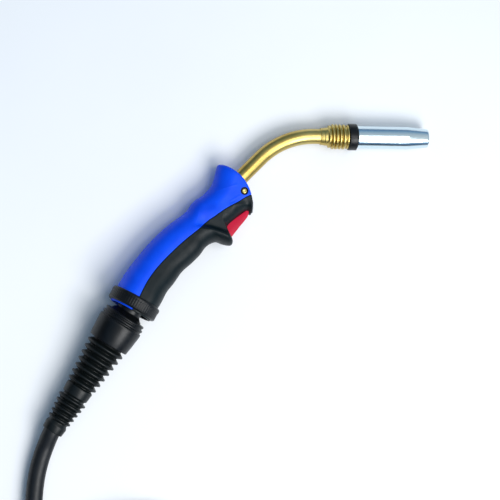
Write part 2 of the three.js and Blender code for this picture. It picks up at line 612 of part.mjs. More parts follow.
function makeCable() {
  const bottom = COIL.floor + CABLE.radius;
  const enter = COIL.x - COIL.mid - CABLE.pitch;
  const lead = smoothCurve([
    supportPoint(137), supportPoint(150), supportPoint(163), [-199.5, -175, 12.4],
    [-204.4, -190, 10.9], [-208, -206, 10], [-210.2, -224, 9.8], [-210.9, -244, 10],
    [-211, -266, 10.4], [-211, -290, 10.8], [-211, -314, bottom], [-211, -340, bottom],
  ]);
  piece("cable_lead", along(lead, CABLE.radius, 14, CABLE.sides), MATERIAL.rubber, scene);

  const inside = COIL.mid - 1.5 * CABLE.pitch;
  const outside = COIL.mid + 1.5 * CABLE.pitch;
  const top = bottom + 16.5 + CABLE.radius;
  const ring = turned([
    [COIL.floor, inside + 5], [COIL.floor, outside - 5], [COIL.floor + 5, outside], [16, outside],
    [top - 4, outside - 8], [top, outside - 14], [top, inside + 14], [top - 4, inside + 8],
    [16, inside], [COIL.floor + 5, inside],
  ], 30).rotateY(-Math.PI / 2);
  const leadWay = solid(new THREE.BoxGeometry(24, 120, 24).translate(enter - COIL.x, 60 + 25, bottom));
  const tailWay = solid(new THREE.BoxGeometry(150, 26, 30)
    .translate(75 + 20, -(COIL.mid + 9), bottom + 17));
  const coil = piece("cable_coil", solid(ring).subtract(leadWay).subtract(tailWay), MATERIAL.rubber, scene);
  coil.position.set(COIL.x, COIL.y, 0);

  const tail = smoothCurve([
    [COIL.x + 21, PLUG.y, 27.9], [-60, PLUG.y, 28.6], [-48, PLUG.y, 28.9], [-36, PLUG.y, 28.7],
    [-20, PLUG.y, 27.6], [-4, PLUG.y, 26.2], [10, PLUG.y, 25.4], [24, PLUG.y, PLUG.z],
    [PLUG.x + 11.7, PLUG.y, PLUG.z],
  ]);
  piece("cable_tail", along(tail, CABLE.radius, 8, CABLE.sides), MATERIAL.rubber, scene);

  for (const [name, turn] of [["coil_tie_a", 235], ["coil_tie_b", 35]]) {
    const half = { x: 30.6, low: COIL.floor - 1.7, high: top + 1.9 };
    const outline = [
      [-half.x, half.low], [half.x, half.low], [half.x, 20], [half.x - 7, half.high - 3],
      [half.x - 12, half.high], [-half.x + 12, half.high], [-half.x + 7, half.high - 3], [-half.x, 20],
    ];
    const inner = outline.map(([x, y]) => [x * 0.95, y < half.low + 1 ? y + 1.4 : y - 1.4]);
    const shape = new THREE.Shape(outline.map(([x, y]) => new THREE.Vector2(x, y)));
    shape.holes.push(new THREE.Path(inner.map(([x, y]) => new THREE.Vector2(x, y))));
    const strap = new THREE.ExtrudeGeometry(shape, { depth: 20, bevelEnabled: false })
      .translate(0, 0, -10).rotateX(Math.PI / 2);
    const tie = piece(name, strap, MATERIAL.black, scene);
    const angle = turn * DEG;
    tie.position.set(COIL.x + COIL.mid * Math.cos(angle), COIL.y + COIL.mid * Math.sin(angle), 0);
    tie.rotation.z = angle;
  }
}

// ---------------------------------------------------------------- machine-end plug
function makePlug() {
  const plug = new THREE.Group();
  plug.position.set(PLUG.x, PLUG.y, PLUG.z);
  scene.add(plug);

  const sleeve = [
    [0, 9.4], [0, 10.8], [8, 11.6], [10.5, 11.8], [10.5, 13.6], [13.5, 13.9], [13.5, 12.4],
    [17.5, 12.9], [17.5, 14.7], [20.5, 15], [20.5, 13.5], [24.5, 14], [24.5, 15.7], [27.5, 16],
    [27.5, 14.6], [32, 15.2], [45.7, 16.4], [45.7, 13.4], [56, 13.4], [56, 9.4],
  ];
  piece("plug_bend_protector", turned(sleeve, 16), MATERIAL.rubber, plug);

  const shellBody = solid(turned([
    [46, 13.7], [46, 17.4], [49, 19], [56, 20.2], [84, 20.6], [98, 21.4], [104, 21.4], [104, 17],
    [64, 17], [64, 13.7],
  ], 20));
  const upright = (radius, z0, z1) =>
    solid(new THREE.CylinderGeometry(radius, radius, z1 - z0, 14).rotateX(Math.PI / 2)
      .translate(0, 0, (z0 + z1) / 2));
  const screwHole = upright(1.7, -30, 30);
  const recesses = upright(3.2, 18.6, 30).add(upright(3.2, -30, -18.6));
  const cut = shellBody.subtract(screwHole.add(recesses).translate(PLUG_SCREW, 0, 0));
  const screw = upright(1.4, 16.8, 19.2).add(upright(2.9, 18.9, 20.2)).subtract(upright(1.1, 19.6, 21));
  for (const [side, sign] of [["upper", 1], ["lower", -1]]) {
    const box = solid(new THREE.BoxGeometry(160, 80, 40).translate(75, 0, sign * (20 + GAP / 2)));
    piece(`plug_shell_${side}`, cut.intersect(box), MATERIAL.black, plug);
    const turn = sign > 0 ? 0 : Math.PI;
    const mesh = piece(`plug_screw_${side}`, screw, MATERIAL.steel, plug);
    mesh.position.x = PLUG_SCREW;
    mesh.rotation.x = turn;
  }

  piece("plug_body", turned([
    [57, 0], [57, 9], [66, 9], [66, 16.4], [104.3, 16.4], [104.3, 14.8], [112, 14.8], [112, 8.3],
    [98, 8.3], [98, 0],
  ], 24), MATERIAL.brass, plug);
  const pinHoles = [-1, 1].map((sign) =>
    solid(rod(110, 120, CONTACT.hole, 12).translate(0, sign * CONTACT.offset, 0)));
  const pinFace = pinHoles.reduce((s, hole) => s.subtract(hole), solid(pipe(112.3, 116.5, 15.6, 6.8)));
  piece("plug_pin_face", pinFace, MATERIAL.black, plug);
  piece("gas_nipple", turned([
    [98.3, 2.2], [98.3, 8], [108, 8], [108, 6.3], [124, 6.3], [124, 5.2], [126.2, 5.2], [126.2, 6.3],
    [131, 6.1], [131, 2.2],
  ], 20), MATERIAL.brass, plug);
  piece("o_ring", new THREE.TorusGeometry(6.35, 0.8, 6, 16).rotateY(Math.PI / 2).translate(125.1, 0, 0),
    MATERIAL.rubber, plug);
  piece("liner_nut", solid(polygonRod(131.3, 137.5, 11)).subtract(solid(rod(125, 140, 2, 10))),
    MATERIAL.brass, plug);

  const nut = solid(turned([
    [104.6, 15.2], [104.6, 23.6], [106, 24.6], [130, 24.6], [132, 23.4], [132, 19.6], [117, 19.6],
    [117, 16], [111, 16], [111, 15.2],
  ], 24));
  const flutes = 8;
  let grooved = nut;
  for (let i = 0; i < flutes; i++) {
    const groove = rod(103, 133, 2.4, 6).translate(0, 25.6, 0).rotateX((i / flutes) * 2 * Math.PI);
    grooved = grooved.subtract(solid(groove));
  }
  piece("hand_nut", grooved, MATERIAL.black, plug);

  for (const [name, sign] of [["contact_pin_a", 1], ["contact_pin_b", -1]]) {
    const pin = piece(name, rod(CONTACT.start, CONTACT.end, CONTACT.radius, 10), MATERIAL.brass, plug);
    pin.position.y = sign * CONTACT.offset;
  }
}

makeNeck();
makeHead();
makeNeckFittings();
makeHandleShells();
makeHandleScrew();
makeTrigger();
makeControlLeads();
makeHandleRear();
makeSupport();
makeCable();
makePlug();

export default scene;
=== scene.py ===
# Looks of a MIG welding torch that lies on its side, its cable coiled beside it.
# Shapes are worked out in millimetres in the frames of their pieces and placed in metres.

import math

import bmesh
import bpy
from mathutils import Matrix, Vector


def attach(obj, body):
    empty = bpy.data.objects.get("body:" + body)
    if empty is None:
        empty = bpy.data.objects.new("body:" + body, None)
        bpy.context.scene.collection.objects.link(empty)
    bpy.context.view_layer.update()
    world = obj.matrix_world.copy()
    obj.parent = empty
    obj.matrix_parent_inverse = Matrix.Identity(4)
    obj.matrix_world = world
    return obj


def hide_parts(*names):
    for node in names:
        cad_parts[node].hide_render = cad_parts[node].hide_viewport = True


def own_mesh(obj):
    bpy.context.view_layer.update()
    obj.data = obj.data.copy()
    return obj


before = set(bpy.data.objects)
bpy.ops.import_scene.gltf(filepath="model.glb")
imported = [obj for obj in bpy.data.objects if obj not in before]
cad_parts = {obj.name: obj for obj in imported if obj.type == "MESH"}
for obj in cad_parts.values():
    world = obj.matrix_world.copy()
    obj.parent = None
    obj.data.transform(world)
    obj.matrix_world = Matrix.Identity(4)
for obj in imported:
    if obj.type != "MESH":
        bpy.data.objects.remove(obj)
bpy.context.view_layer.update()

MM = 0.001
TAU = 2 * math.pi

# -------------------- driving dimensions (mm, radians)
TORCH_PLACE = (80.7, 151, 14.15)
REST_TILT = math.radians(4.3)
NECK = {"bend": 83, "angle": math.radians(45), "outer": 8, "front": 12, "rear": 78, "step": 1.5}
BALL = {"x": -189, "y": -173, "radius": 17.5, "front": -11.5, "step": 1.9, "steps": 12}
HANDLE_AXIS = math.radians(60.5)
SUPPORT_AXIS = math.radians(58.3)
SUPPORT_DROP = math.radians(3.4)
TRIGGER = {"x": -70.5, "y": -78, "slope": math.radians(38.3), "half_width": 7, "slot": 7.4, "hub": 1.9}
SCREW = {"x": -78.2, "y": -60.3, "recess": 4.2}
FINS = (15.1, 18.7, 22.4, 26.3, 30.3)  # places of the head's cooling fins
NOZZLE_SPRING = {"start": 49.8, "length": 4.2, "radius": 9.85, "wire": 0.5, "turns": 2.5, "steps": 180}
OUTLET_PORTS = 6
CABLE_RADIUS = 9
COIL = {"x": -93.6, "y": -366, "floor": 1.7, "mid": 99.2, "pitch": 18.2, "layer": 16.5}
COIL_TURNS = {"start": 180, "end": 1710, "step": 3}  # degrees round the coil
# Where the cable moves over to the next place in its layer, and the places, in pitches outwards.
COIL_CHANGES = [(498, 535), (858, 895), (1178, 1213), (1500, 1535)]
COIL_PLACES = [1, 0, -1, -0.5, 0.5]
# Where it humps over a turn below it, and how high.
COIL_HUMPS = [(1213, 1262, 2.0), (1494, 1541, 1.8), (1573, 1620, 1.8)]
CLIMB = {"span": 28, "wait": 12}  # degrees: the climb to the upper layer, and its lead on the move inwards
TIE = {"reach": 9.25, "half_width": 10, "thick": 1.5, "azimuths": {"strap_a": 235, "strap_b": 35}}
PLUG_PLACE = (38, -474.3, 25.2)
PLUG_ENTRY = 11.7
SLOT = {"start": 5.6, "end": 37, "low": -7.3, "high": 24}  # the trigger's slot, in the trigger's frame
SLOT_SEARCH = {"x": (-9, 42), "y": (-17, 27)}  # where the slot's planes may cut the skin
TRIGGER_SPRING = {"x": 27, "radius": 1.9, "wire": 0.3, "foot": -6.85, "head": -3.2, "turns": 4.5,
                  "steps": 144, "pressed": 0.4}
COLLAR_RIBS = {"count": 60, "depth": 0.22, "root": 26, "start": 0.4, "end": 11.2, "fade": 1.5}
BOOT = {"ribs": 7, "first": 60, "pitch": 7.28, "small_ribs": 5, "small_first": 123.5, "small_pitch": 6,
        "end": 162}
FLUTES = {"count": 8, "depth": 1.6, "half_width": 2.6, "radius": 25.2, "root": 22}
SPLIT = {"collar": 0.02, "plug": 0.012}  # half the gap where ring halves meet, in radians


# -------------------- frames
def moved(x, y, z=0):
    return Matrix.Translation(Vector((x, y, z)) * MM)


def turned_z(angle):
    return Matrix.Rotation(angle, 4, "Z")


def torch_frame():
    return moved(*TORCH_PLACE) @ Matrix.Rotation(-REST_TILT, 4, "X")


def support_frame():
    back = Vector((
        -math.cos(SUPPORT_AXIS) * math.cos(SUPPORT_DROP),
        -math.sin(SUPPORT_AXIS) * math.cos(SUPPORT_DROP),
        -math.sin(SUPPORT_DROP),
    ))
    side = Vector((0, 0, 1)).cross(back).normalized()
    up = back.cross(side)
    matrix = Matrix((back, side, up)).transposed().to_4x4()
    matrix.translation = (TORCH @ moved(BALL["x"], BALL["y"])).translation
    return matrix


TORCH = torch_frame()
HANDLE_REAR = TORCH @ moved(BALL["x"], BALL["y"]) @ turned_z(math.pi + HANDLE_AXIS)
TRIGGER_FRAME = TORCH @ moved(TRIGGER["x"], TRIGGER["y"]) @ turned_z(math.pi + TRIGGER["slope"])
SUPPORT = support_frame()
PLUG = moved(*PLUG_PLACE)


# -------------------- camera
# Where the camera stands and looks, in the torch's frame.
EYE = (-442.5, -247.8, 2190)
TARGET = (-69.5, -120.8, 0)
LENS = 152.98


def make_camera():
    eye = TORCH @ (Vector(EYE) * MM)
    target = TORCH @ (Vector(TARGET) * MM)
    forward = (target - eye).normalized()
    right = forward.cross(TORCH.to_3x3() @ Vector((0, 1, 0))).normalized()
    up = right.cross(forward)
    data = bpy.data.cameras.new("camera")
    data.lens = LENS
    data.sensor_width = 36
    data.clip_start = 0.05
    data.clip_end = 60
    camera = bpy.data.objects.new("camera", data)
    matrix = Matrix((right, up, -forward)).transposed().to_4x4()
    matrix.translation = eye
    camera.matrix_world = matrix
    bpy.context.scene.collection.objects.link(camera)
    bpy.context.scene.camera = camera


make_camera()


# -------------------- curves
def smoothstep(x):
    x = min(1, max(0, x))
    return x * x * (3 - 2 * x)


def catmull(points, t):
    """A point of the smooth curve through points; t runs from 0 to the number of spans."""
    last = len(points) - 1
    i = min(int(t), last - 1)
    u = t - i
    p1, p2 = points[i], points[i + 1]
    p0 = points[i - 1] if i > 0 else [2 * a - b for a, b in zip(p1, p2)]
    p3 = points[i + 2] if i + 2 <= last else [2 * b - a for a, b in zip(p1, p2)]
    return [
        0.5 * (2 * b + (c - a) * u + (2 * a - 5 * b + 4 * c - d) * u * u + (3 * b - 3 * c + d - a) * u ** 3)
        for a, b, c, d in zip(p0, p1, p2, p3)
    ]


def smooth_line(points, steps):
    spans = len(points) - 1
    return [catmull(points, i / steps) for i in range(spans * steps + 1)]


# -------------------- meshes
def new_object(name, vertices, faces, place):
    """A mesh of vertices in mm in the place's frame."""
    mesh = bpy.data.meshes.new(name)
    mesh.from_pydata([Vector(v) * MM for v in vertices], [], faces)
    mesh.validate()
    tool = bmesh.new()
    tool.from_mesh(mesh)
    bmesh.ops.remove_doubles(tool, verts=tool.verts, dist=1e-7)
    bmesh.ops.dissolve_degenerate(tool, edges=tool.edges, dist=1e-8)
    bmesh.ops.recalc_face_normals(tool, faces=tool.faces)
    tool.to_mesh(mesh)
    tool.free()
    obj = bpy.data.objects.new(name, mesh)
    obj.matrix_world = place
    bpy.context.scene.collection.objects.link(obj)
    return obj


def finish_piece(obj, material, body, replaces=(), crease=35):
    obj.data.materials.clear()
    obj.data.materials.append(material)
    if obj.type == "MESH":
        apply_modifiers(obj)
        obj.data.transform(obj.matrix_world)
        obj.matrix_world = Matrix.Identity(4)
        obj.data.polygons.foreach_set("use_smooth", [True] * len(obj.data.polygons))
        obj.data.set_sharp_from_angle(angle=math.radians(crease))
    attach(obj, body)
    if replaces:
        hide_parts(*replaces)
    return obj


def rounded(points, radius, steps=3, closed=False):
    """The outline with its corners rounded off."""
    count = len(points)
    made = []
    for i, (x, y) in enumerate(points):
        if not closed and i in (0, count - 1):
            made.append((x, y))
            continue
        corner = Vector((x, y))
        before = Vector(points[i - 1]) - corner
        after = Vector(points[(i + 1) % count]) - corner
        reach = min(radius, 0.45 * before.length, 0.45 * after.length)
        a = corner + before.normalized() * reach
        b = corner + after.normalized() * reach
        for k in range(steps + 1):
            t = k / steps
            p = a * (1 - t) ** 2 + corner * 2 * t * (1 - t) + b * t * t
            made.append((p.x, p.y))
    return made


def lathe(name, profile, place, segments=96, radius=0.4, wave=None, steps=3):
    """A solid of revolution about the frame's X axis. wave changes the radius round the axis."""
    closed = not (profile[0][1] == 0 and profile[-1][1] == 0)
    outline = rounded(profile, radius, steps, closed)
    vertices, faces = [], []
    for x, r in outline:
        for k in range(segments):
            turn = k / segments * TAU
            reach = wave(turn, x, r) if wave else r
            vertices.append((x, reach * math.cos(turn), reach * math.sin(turn)))
    rings = len(outline)
    for i in range(rings if closed else rings - 1):
        for k in range(segments):
            a, b = i * segments + k, i * segments + (k + 1) % segments
            c, d = ((i + 1) % rings) * segments + (k + 1) % segments, ((i + 1) % rings) * segments + k
            faces.append((a, b, c, d))
    return new_object(name, vertices, faces, place)


def sweep(name, line, radius, place, segments=32):
    """A round rod along a 3-D line of points."""
    points = [Vector(p) for p in line]
    side = (points[1] - points[0]).orthogonal().normalized()
    vertices, faces = [], []
    for i, p in enumerate(points):
        ahead = (points[min(i + 1, len(points) - 1)] - points[max(i - 1, 0)]).normalized()
        side = (side - ahead * side.dot(ahead)).normalized()
        other = ahead.cross(side)
        for k in range(segments):
            turn = k / segments * TAU
            vertices.append(p + (side * math.cos(turn) + other * math.sin(turn)) * radius)
    for i in range(len(points) - 1):
        for k in range(segments):
            a, b = i * segments + k, i * segments + (k + 1) % segments
            faces.append((a, b, b + segments, a + segments))
    faces.append(tuple(range(segments)))
    faces.append(tuple(range((len(points) - 1) * segments, len(points) * segments)))
    return new_object(name, vertices, faces, place)


def extruded(name, outline, low, high, place, bevel=0):
    """A flat outline from z low to z high, with softened edges."""
    count = len(outline)
    vertices = [(x, y, low) for x, y in outline] + [(x, y, high) for x, y in outline]
    faces = [tuple(range(count)), tuple(range(count, 2 * count))]
    faces += [(i, (i + 1) % count, count + (i + 1) % count, count + i) for i in range(count)]
    obj = new_object(name, vertices, faces, place)
    if bevel:
        add_bevel(obj, bevel)
    return obj


def add_bevel(obj, width):
    tool = obj.modifiers.new("soft_edges", "BEVEL")
    tool.width = width * MM
    tool.segments = 3
    tool.limit_method = "ANGLE"
    tool.angle_limit = math.radians(40)
    tool.harden_normals = False


def cut_with(obj, cutter):
    """Cuts the cutter's volume out of obj for good, then removes the cutter."""
    tool = obj.modifiers.new("cut", "BOOLEAN")
    tool.operation = "DIFFERENCE"
    tool.solver = "EXACT"
    tool.object = cutter
    apply_modifiers(obj)
    bpy.data.objects.remove(cutter)


def apply_modifiers(obj):
    bpy.context.view_layer.update()
    graph = bpy.context.evaluated_depsgraph_get()
    made = bpy.data.meshes.new_from_object(obj.evaluated_get(graph))
    obj.modifiers.clear()
    obj.data = made


# -------------------- materials
def colour_ramp(tree, value, stops):
    """A colour that runs through the stops as the value goes from 0 to 1."""
    ramp = tree.nodes.new("ShaderNodeValToRGB")
    elements = ramp.color_ramp.elements
    while len(elements) < len(stops):
        elements.new(0.5)
    for element, (place, colour) in zip(elements, stops):
        element.position = place
        element.color = (*colour, 1)
    tree.links.new(value, ramp.inputs["Fac"])
    return ramp.outputs["Color"]


class Shader:
    """A principled material whose colour, roughness and bump come from noise in the piece's own frame."""

    def __init__(self, name, roughness=0.4, metallic=0.0, specular=0.5):
        self.material = bpy.data.materials.new(name)
        self.material.use_nodes = True
        self.tree = self.material.node_tree
        self.bsdf = self.tree.nodes["Principled BSDF"]
        self.bsdf.inputs["Roughness"].default_value = roughness
        self.bsdf.inputs["Metallic"].default_value = metallic
        self.bsdf.inputs["Specular IOR Level"].default_value = specular
        self.coords = self.tree.nodes.new("ShaderNodeTexCoord")

    def noise(self, scale, detail=4, rough=0.5):
        noise = self.tree.nodes.new("ShaderNodeTexNoise")
        noise.inputs["Scale"].default_value = scale
        noise.inputs["Detail"].default_value = detail
        noise.inputs["Roughness"].default_value = rough
        self.tree.links.new(self.coords.outputs["Object"], noise.inputs["Vector"])
        return noise.outputs["Fac"]

    def colour(self, value, stops):
        self.tree.links.new(colour_ramp(self.tree, value, stops), self.bsdf.inputs["Base Color"])

    def roughness(self, value, low, high):
        span = self.tree.nodes.new("ShaderNodeMapRange")
        span.inputs["From Min"].default_value = 0.3
        span.inputs["From Max"].default_value = 0.7
        span.inputs["To Min"].default_value = low
        span.inputs["To Max"].default_value = high
        self.tree.links.new(value, span.inputs["Value"])
        self.tree.links.new(span.outputs["Result"], self.bsdf.inputs["Roughness"])

    def bump(self, value, height):
        """Relief of a height in mm."""
        bump = self.tree.nodes.new("ShaderNodeBump")
        bump.inputs["Strength"].default_value = 1.0
        bump.inputs["Distance"].default_value = height * MM
        self.tree.links.new(value, bump.inputs["Height"])
        self.tree.links.new(bump.outputs["Normal"], self.bsdf.inputs["Normal"])


def moulded(name, dark, light, roughness, grain, specular=0.5):
    """Injection-moulded plastic or rubber: a fine spark-eroded grain and faint mottling."""
    s = Shader(name, roughness, specular=specular)
    s.colour(s.noise(45), [(0.3, dark), (0.7, light)])
    s.roughness(s.noise(160), roughness - 0.05, roughness + 0.06)
    s.bump(s.noise(2600, detail=2), grain)
    return s.material


def worn_metal(name, stops, roughness, grain=0.001, patch=35, uneven=0.05):
    """Metal with faint tarnish patches, uneven polish and a very fine grain."""
    s = Shader(name, roughness, metallic=1)
    s.colour(s.noise(patch, detail=6, rough=0.6), stops)
    s.roughness(s.noise(60), roughness - uneven, roughness + uneven)
    if grain:
        s.bump(s.noise(900, detail=3), grain)
    return s.material


BLUE = moulded("blue_plastic", (0.001, 0.066, 0.78), (0.0018, 0.088, 0.93), 0.42, 0.004, specular=0.17)
GRIP = moulded("soft_grip", (0.002, 0.006, 0.0075), (0.0035, 0.009, 0.011), 0.42, 0.01, specular=0.19)
BLACK = moulded("black_plastic", (0.002, 0.0025, 0.003), (0.004, 0.005, 0.006), 0.36, 0.004, specular=0.28)
BOOT_RUBBER = moulded(
    "boot_rubber", (0.002, 0.0035, 0.0035), (0.004, 0.006, 0.006), 0.4, 0.008, specular=0.3)
JACKET = moulded("cable_jacket", (0.004, 0.005, 0.006), (0.008, 0.009, 0.011), 0.46, 0.012, specular=0.35)
RED = moulded("trigger_red", (0.5, 0.001, 0.028), (0.6, 0.002, 0.038), 0.42, 0.004, specular=0.2)
LEAD = moulded("lead_insulation", (0.4, 0.02, 0.02), (0.5, 0.03, 0.03), 0.45, 0.006)
FIBRE = moulded("fibre", (0.62, 0.55, 0.42), (0.72, 0.65, 0.5), 0.7, 0.02)
CERAMIC = moulded("ceramic", (0.72, 0.68, 0.6), (0.8, 0.77, 0.7), 0.6, 0.01)
BRASS = worn_metal(
    "drawn_brass", [(0.3, (0.45, 0.3, 0.07)), (0.5, (0.54, 0.4, 0.12)), (0.7, (0.6, 0.49, 0.18))],
    0.34, grain=0.0006, patch=18)
# The chrome's bluish tint is a painted reflection of sky-blue surroundings, not the metal's own colour.
CHROME = worn_metal(
    "chrome", [(0.3, (0.64, 0.76, 0.81)), (0.7, (0.7, 0.81, 0.86))], 0.19, grain=0, uneven=0.02)
STEEL = worn_metal("steel", [(0.3, (0.3, 0.29, 0.24)), (0.7, (0.4, 0.38, 0.3))], 0.34, grain=0.001)
COPPER = worn_metal("copper", [(0.3, (0.55, 0.24, 0.12)), (0.7, (0.72, 0.36, 0.2))], 0.3, grain=0.002)


# -------------------- the cable
def support_point(x):
    return list(SUPPORT @ (Vector((x, 0, 0)) * MM) / MM)


def coil_point(turn):
    """A point of the coil at an angle in degrees: three turns on the floor, then a layer on them."""
    climb_start = COIL_CHANGES[2][0]
    place = COIL_PLACES[0]
    for (start, end), before, after in zip(COIL_CHANGES, COIL_PLACES, COIL_PLACES[1:]):
        wait = CLIMB["wait"] if start == climb_start else 0
        share = smoothstep((turn - start - wait) / (end - start - wait))
        place += (after - before) * share
    z = COIL["floor"] + CABLE_RADIUS + COIL["layer"] * smoothstep((turn - climb_start) / CLIMB["span"])
    for start, end, height in COIL_HUMPS:
        if start < turn < end:
            z += height * math.sin((turn - start) / (end - start) * math.pi) ** 2
    r = COIL["mid"] + place * COIL["pitch"]
    angle = math.radians(turn)
    return [COIL["x"] + r * math.cos(angle), COIL["y"] + r * math.sin(angle), z]


def cable_line():
    low = COIL["floor"] + CABLE_RADIUS
    lead = [
        support_point(137), support_point(150), support_point(163), [-199.5, -175, 12.4],
        [-204.4, -190, 10.9], [-208, -206, 10], [-210.2, -224, 9.8], [-210.9, -244, 10],
        [-211, -266, 10.4], [-211, -290, 10.7], [-211, -314, low], [-211, -340, low],
    ]
    steps = (COIL_TURNS["end"] - COIL_TURNS["start"]) // COIL_TURNS["step"]
    coil = [coil_point(COIL_TURNS["start"] + i * COIL_TURNS["step"]) for i in range(1, steps + 1)]
    y = coil[-1][1]
    tail = [
        coil[-1], [-72.6, y, 27.9], [-60, y, 28.6], [-48, y, 28.9], [-36, y, 28.7], [-20, y, 27.6],
        [-4, y, 26.2], [10, y, 25.4], [24, y, 25.2], [PLUG_PLACE[0] + PLUG_ENTRY, y, PLUG_PLACE[2]],
    ]
    return smooth_line([*lead, coil[0]], 8)[:-1] + coil + smooth_line(tail, 6)[1:]


def make_cable():
    line = cable_line()
    data = bpy.data.curves.new("cable", "CURVE")
    data.dimensions = "3D"
    data.bevel_depth = CABLE_RADIUS * MM
    data.bevel_resolution = 7
    data.use_fill_caps = True
    spline = data.splines.new("POLY")
    spline.points.add(len(line) - 1)
    for point, place in zip(spline.points, line):
        point.co = (*(Vector(place) * MM), 1)
    spline.use_smooth = True
    cable = bpy.data.objects.new("cable", data)
    bpy.context.scene.collection.objects.link(cable)
    data.materials.append(JACKET)
    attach(cable, "cable")
    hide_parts("cable_lead", "cable_coil", "cable_tail")
    return cable


def hull(points):
    """The convex outline round flat points, anticlockwise."""
    points = sorted(points)

    def chain(ordered):
        made = []
        for p in ordered:
            while len(made) > 1:
                (ax, ay), (bx, by) = made[-2], made[-1]
                if (bx - ax) * (p[1] - ay) - (by - ay) * (p[0] - ax) > 1e-9:
                    break
                made.pop()
            made.append(p)
        return made[:-1]

    return chain(points) + chain(points[::-1])


def make_tie(name, azimuth):
    """A hook-and-loop strap pulled tight round the turns that cross one side of the coil."""
    start, end = COIL_TURNS["start"], COIL_TURNS["end"]
    turns = [azimuth + 360 * i for i in range(6) if start <= azimuth + 360 * i <= end]
    wrapped = []
    for turn in turns:
        x, y, z = coil_point(turn)
        out = math.hypot(x - COIL["x"], y - COIL["y"]) - COIL["mid"]
        for k in range(40):
            a = k / 40 * TAU
            wrapped.append((out + TIE["reach"] * math.cos(a), z + TIE["reach"] * math.sin(a)))
    outline = hull(wrapped)
    half, thick = TIE["half_width"], TIE["thick"]
    vertices, faces = [], []
    count = len(outline)
    section = rounded([(0, -half), (thick, -half), (thick, half), (0, half)], 0.5, 2, closed=True)
    for i, (x, y) in enumerate(outline):
        ahead = Vector(outline[(i + 1) % count]) - Vector(outline[i - 1])
        normal = Vector((ahead.y, -ahead.x)).normalized()
        for rise, across in section:
            vertices.append((x + normal.x * rise, across, y + normal.y * rise))
    size = len(section)
    for i in range(count):
        for k in range(size):
            a, b = i * size + k, i * size + (k + 1) % size
            c, d = ((i + 1) % count) * size + (k + 1) % size, ((i + 1) % count) * size + k
            faces.append((a, b, c, d))
    angle = math.radians(azimuth)
    place = moved(COIL["x"] + COIL["mid"] * math.cos(angle), COIL["y"] + COIL["mid"] * math.sin(angle))
    tie = new_object(name, vertices, faces, place @ turned_z(angle))
    return finish_piece(tie, STRAP, "cable", [name.replace("strap", "coil_tie")])


def strap_material():
    s = Shader("strap", 0.8, specular=0.3)
    s.colour(s.noise(60), [(0.3, (0.012, 0.013, 0.015)), (0.7, (0.022, 0.024, 0.027))])
    s.bump(s.noise(1100, detail=3), 0.25)
    return s.material


STRAP = strap_material()


# -------------------- neck and head
def neck_line():
    """The neck's axis: straight at the head, one bend, and straight into the handle."""
    front = NECK["front"]
    arc = NECK["bend"] * NECK["angle"]
    total = front + arc + NECK["rear"]
    steps = int(total / NECK["step"])
    line = []
    for i in range(steps + 1):
        s = front - i * total / steps
        turn = min(max(-s, 0), arc) / NECK["bend"]
        past = max(-s - arc, 0)
        line.append((
            max(s, 0) - NECK["bend"] * math.sin(turn) - past * math.cos(turn),
            -NECK["bend"] * (1 - math.cos(turn)) - past * math.sin(turn),
            0,
        ))
    return line


def make_neck():
    tube = sweep("neck_tube", neck_line(), NECK["outer"], TORCH, 64)
    finish_piece(tube, BRASS, "handle", ["neck_outer_tube"])


